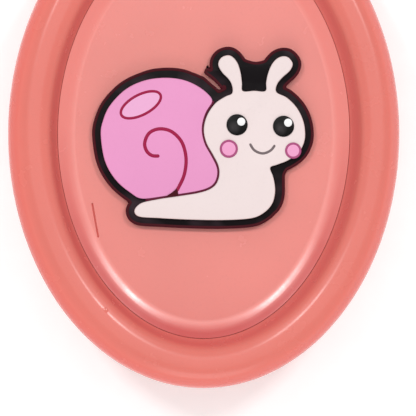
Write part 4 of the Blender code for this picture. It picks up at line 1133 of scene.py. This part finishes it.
def badge():
    body_field = signed_distance(spline(BODY_OUTLINE, 5, True))
    shell_field = signed_distance(spline(SHELL_OUTLINE, 8, True)) + SHELL_INSET
    web_field = np.minimum.reduce([signed_distance(spline(web, 6, True)) for web in WEB_OUTLINES])
    both = np.minimum(body_field, shell_field)
    whole = np.minimum(both - BORDER, web_field)
    base = smooth_loop(contour(whole), 0.25, 3)
    fine(pad(base, BASE_BOTTOM, BASE_TOP, 0.3), "badge_base", BLACK_PVC, "lid")
    # A dark red strip round the border's top edge: painted reflection of the coral and painted shade on its
    # side
    reflection_strip = strip(smooth_loop(contour(whole + 0.22), 0.2, 3), 0.46, 0.05, BASE_TOP - 0.015, True)
    add(reflection_strip, "badge_base_painted_reflection", DARK_RED_AND_REFLECTION_PVC, "lid")
    apart = shell_field + body_field - INLAY_GAP
    corner = np.maximum(CORNER - np.abs(apart), 0.0)
    shell_field = np.maximum(shell_field, INLAY_GAP - body_field) + corner**2 / (4.0 * CORNER)
    shell = smooth_loop(contour(shell_field))
    fine(pad(shell, INLAY_BOTTOM, INLAY_TOP, INLAY_EDGE), "badge_shell", PINK_PVC, "lid")
    body = smooth_loop(contour(body_field))
    fine(pad(body, INLAY_BOTTOM, INLAY_TOP, INLAY_EDGE), "badge_body", CREAM_PVC, "lid")
    tilt = radians(27.7)
    centre_x, centre_y = SHINE_CENTRE
    shine = []
    for x, y in circle((0.0, 0.0), 1.0, 72):
        a, b = x * 3.35, y * 1.52
        x = centre_x + a * cos(tilt) - b * sin(tilt)
        shine.append((x, centre_y + a * sin(tilt) + b * cos(tilt)))
    fill = [((x - centre_x) * 0.95 + centre_x, (y - centre_y) * 0.95 + centre_y) for x, y in shine]
    lines = [
        ("badge_spiral", strip(spline(SPIRAL, 8), 0.52, 0.09, INLAY_TOP), LINE_PVC),
        ("badge_shine_ring", strip(shine, 0.42, 0.09, INLAY_TOP, True), LINE_PVC),
        ("badge_seam_line", strip(spline(SEAM_LINE, 8), 0.38, 0.12, INLAY_TOP - 0.1), DARK_LINE_PVC),
        ("badge_smile", strip(spline(SMILE, 8), 0.38, 0.08, INLAY_TOP), SMILE_PVC),
        ("badge_spiral_foot", prism(SPIRAL_FOOT, INLAY_TOP - 0.2, INLAY_TOP + 0.1), DARK_RED_AND_REFLECTION_PVC),
        ("badge_shine_fill", prism(fill, INLAY_TOP - 0.1, INLAY_TOP + 0.03), SHINE_PVC),
    ]
    for name, mesh, material in lines:
        add(mesh, name, material, "lid")
    for side, eye, glint, cheek, spread in zip(("left", "right"), EYES, GLINTS, CHEEKS, (1.2, 1.07)):
        mesh = disc(eye, EYE_RADIUS, INLAY_TOP - 0.1, 20.42, 0.12, 0.1)
        fine(mesh, f"badge_eye_{side}", EYE_PVC, "lid")
        mesh = disc(glint, GLINT_RADIUS, 20.3, 20.56, 0.06, 0.05)
        fine(mesh, f"badge_glint_{side}", WHITE_PVC, "lid")
        mesh = disc(cheek, spread - 0.06, INLAY_BOTTOM, 20.34, 0.08, 0.04)
        fine(mesh, f"badge_cheek_{side}", BLUSH_PVC, "lid")
        ring = strip(circle(cheek, spread, 48), 0.36, 0.09, 20.3, True)
        add(ring, f"badge_cheek_ring_{side}", RING_PVC, "lid")


# Floor, light and camera

LIGHT_TARGET = (0.0, 0.0, 0.015)
LIGHTS = (
    # Name, place in metres, size in metres, power in watts
    ("key_left", (-0.25, 0.24, 0.72), 0.1, 1.4),
    ("key_right", (0.25, 0.24, 0.72), 0.1, 1.4),
    ("overhead", (0.0, 0.2, 0.9), 0.5, 1.1),
    ("low_fill", (0.0, -0.6, 0.35), 0.4, 1.0),
)
SKY_STRENGTH = 0.41
VIEW_CENTRE = (0.66, -11.37)
VIEW_WIDTH = 63.7728
VIEW_DISTANCE = 0.7
VIEW_LEVEL = 0.018
SENSOR_WIDTH = 36.0


def floor():
    """A wide pale sheet under the case, its far edge turned up a little."""
    mesh = lathe([(0.0, -0.02), (400.0, -0.02), (1800.0, -0.02), (2600.0, 1.98)])
    n = Nodes("floor_paper")
    grain = n.span(n.noise(300.0, 3.0), 0.0, 1.0)
    n.set(Base_Color=n.blend(grain, (0.84, 0.84, 0.84), (0.87, 0.87, 0.87)))
    n.set(Roughness=0.6, Specular_IOR_Level=0.3, Emission_Color=(1.0, 1.0, 1.0), Emission_Strength=0.38)
    mesh.materials.append(n.material)
    piece = new_object("floor", mesh)


def lights():
    world = bpy.data.worlds.new("studio")
    world.use_nodes = True
    sky = world.node_tree.nodes["Background"]
    sky.inputs["Color"].default_value = (1.0, 1.0, 1.0, 1.0)
    sky.inputs["Strength"].default_value = SKY_STRENGTH
    bpy.context.scene.world = world
    for name, place, size, power in LIGHTS:
        data = bpy.data.lights.new(name, "AREA")
        data.energy = power
        data.size = size
        light = new_object(name, data)
        light.location = place
        aim = Vector(LIGHT_TARGET) - Vector(place)
        light.rotation_euler = aim.to_track_quat("-Z", "Y").to_euler()
    bpy.context.scene.view_settings.view_transform = "Standard"


def camera():
    """Straight above the face; the case's mouth end lies outside the view."""
    data = bpy.data.cameras.new("camera")
    view = new_object("camera", data)
    view.location = (VIEW_CENTRE[0] * MM, VIEW_CENTRE[1] * MM, VIEW_DISTANCE + VIEW_LEVEL)
    data.sensor_width = SENSOR_WIDTH
    data.lens = SENSOR_WIDTH * VIEW_DISTANCE / (VIEW_WIDTH * MM)
    bpy.context.scene.camera = view


back_shell()
front_shell()
refill_lid()
cutter_cover()
spool_pieces()
roller_pieces()
tape_lead()
nose_and_blade()
fasteners()
badge()
floor()
lights()
camera()
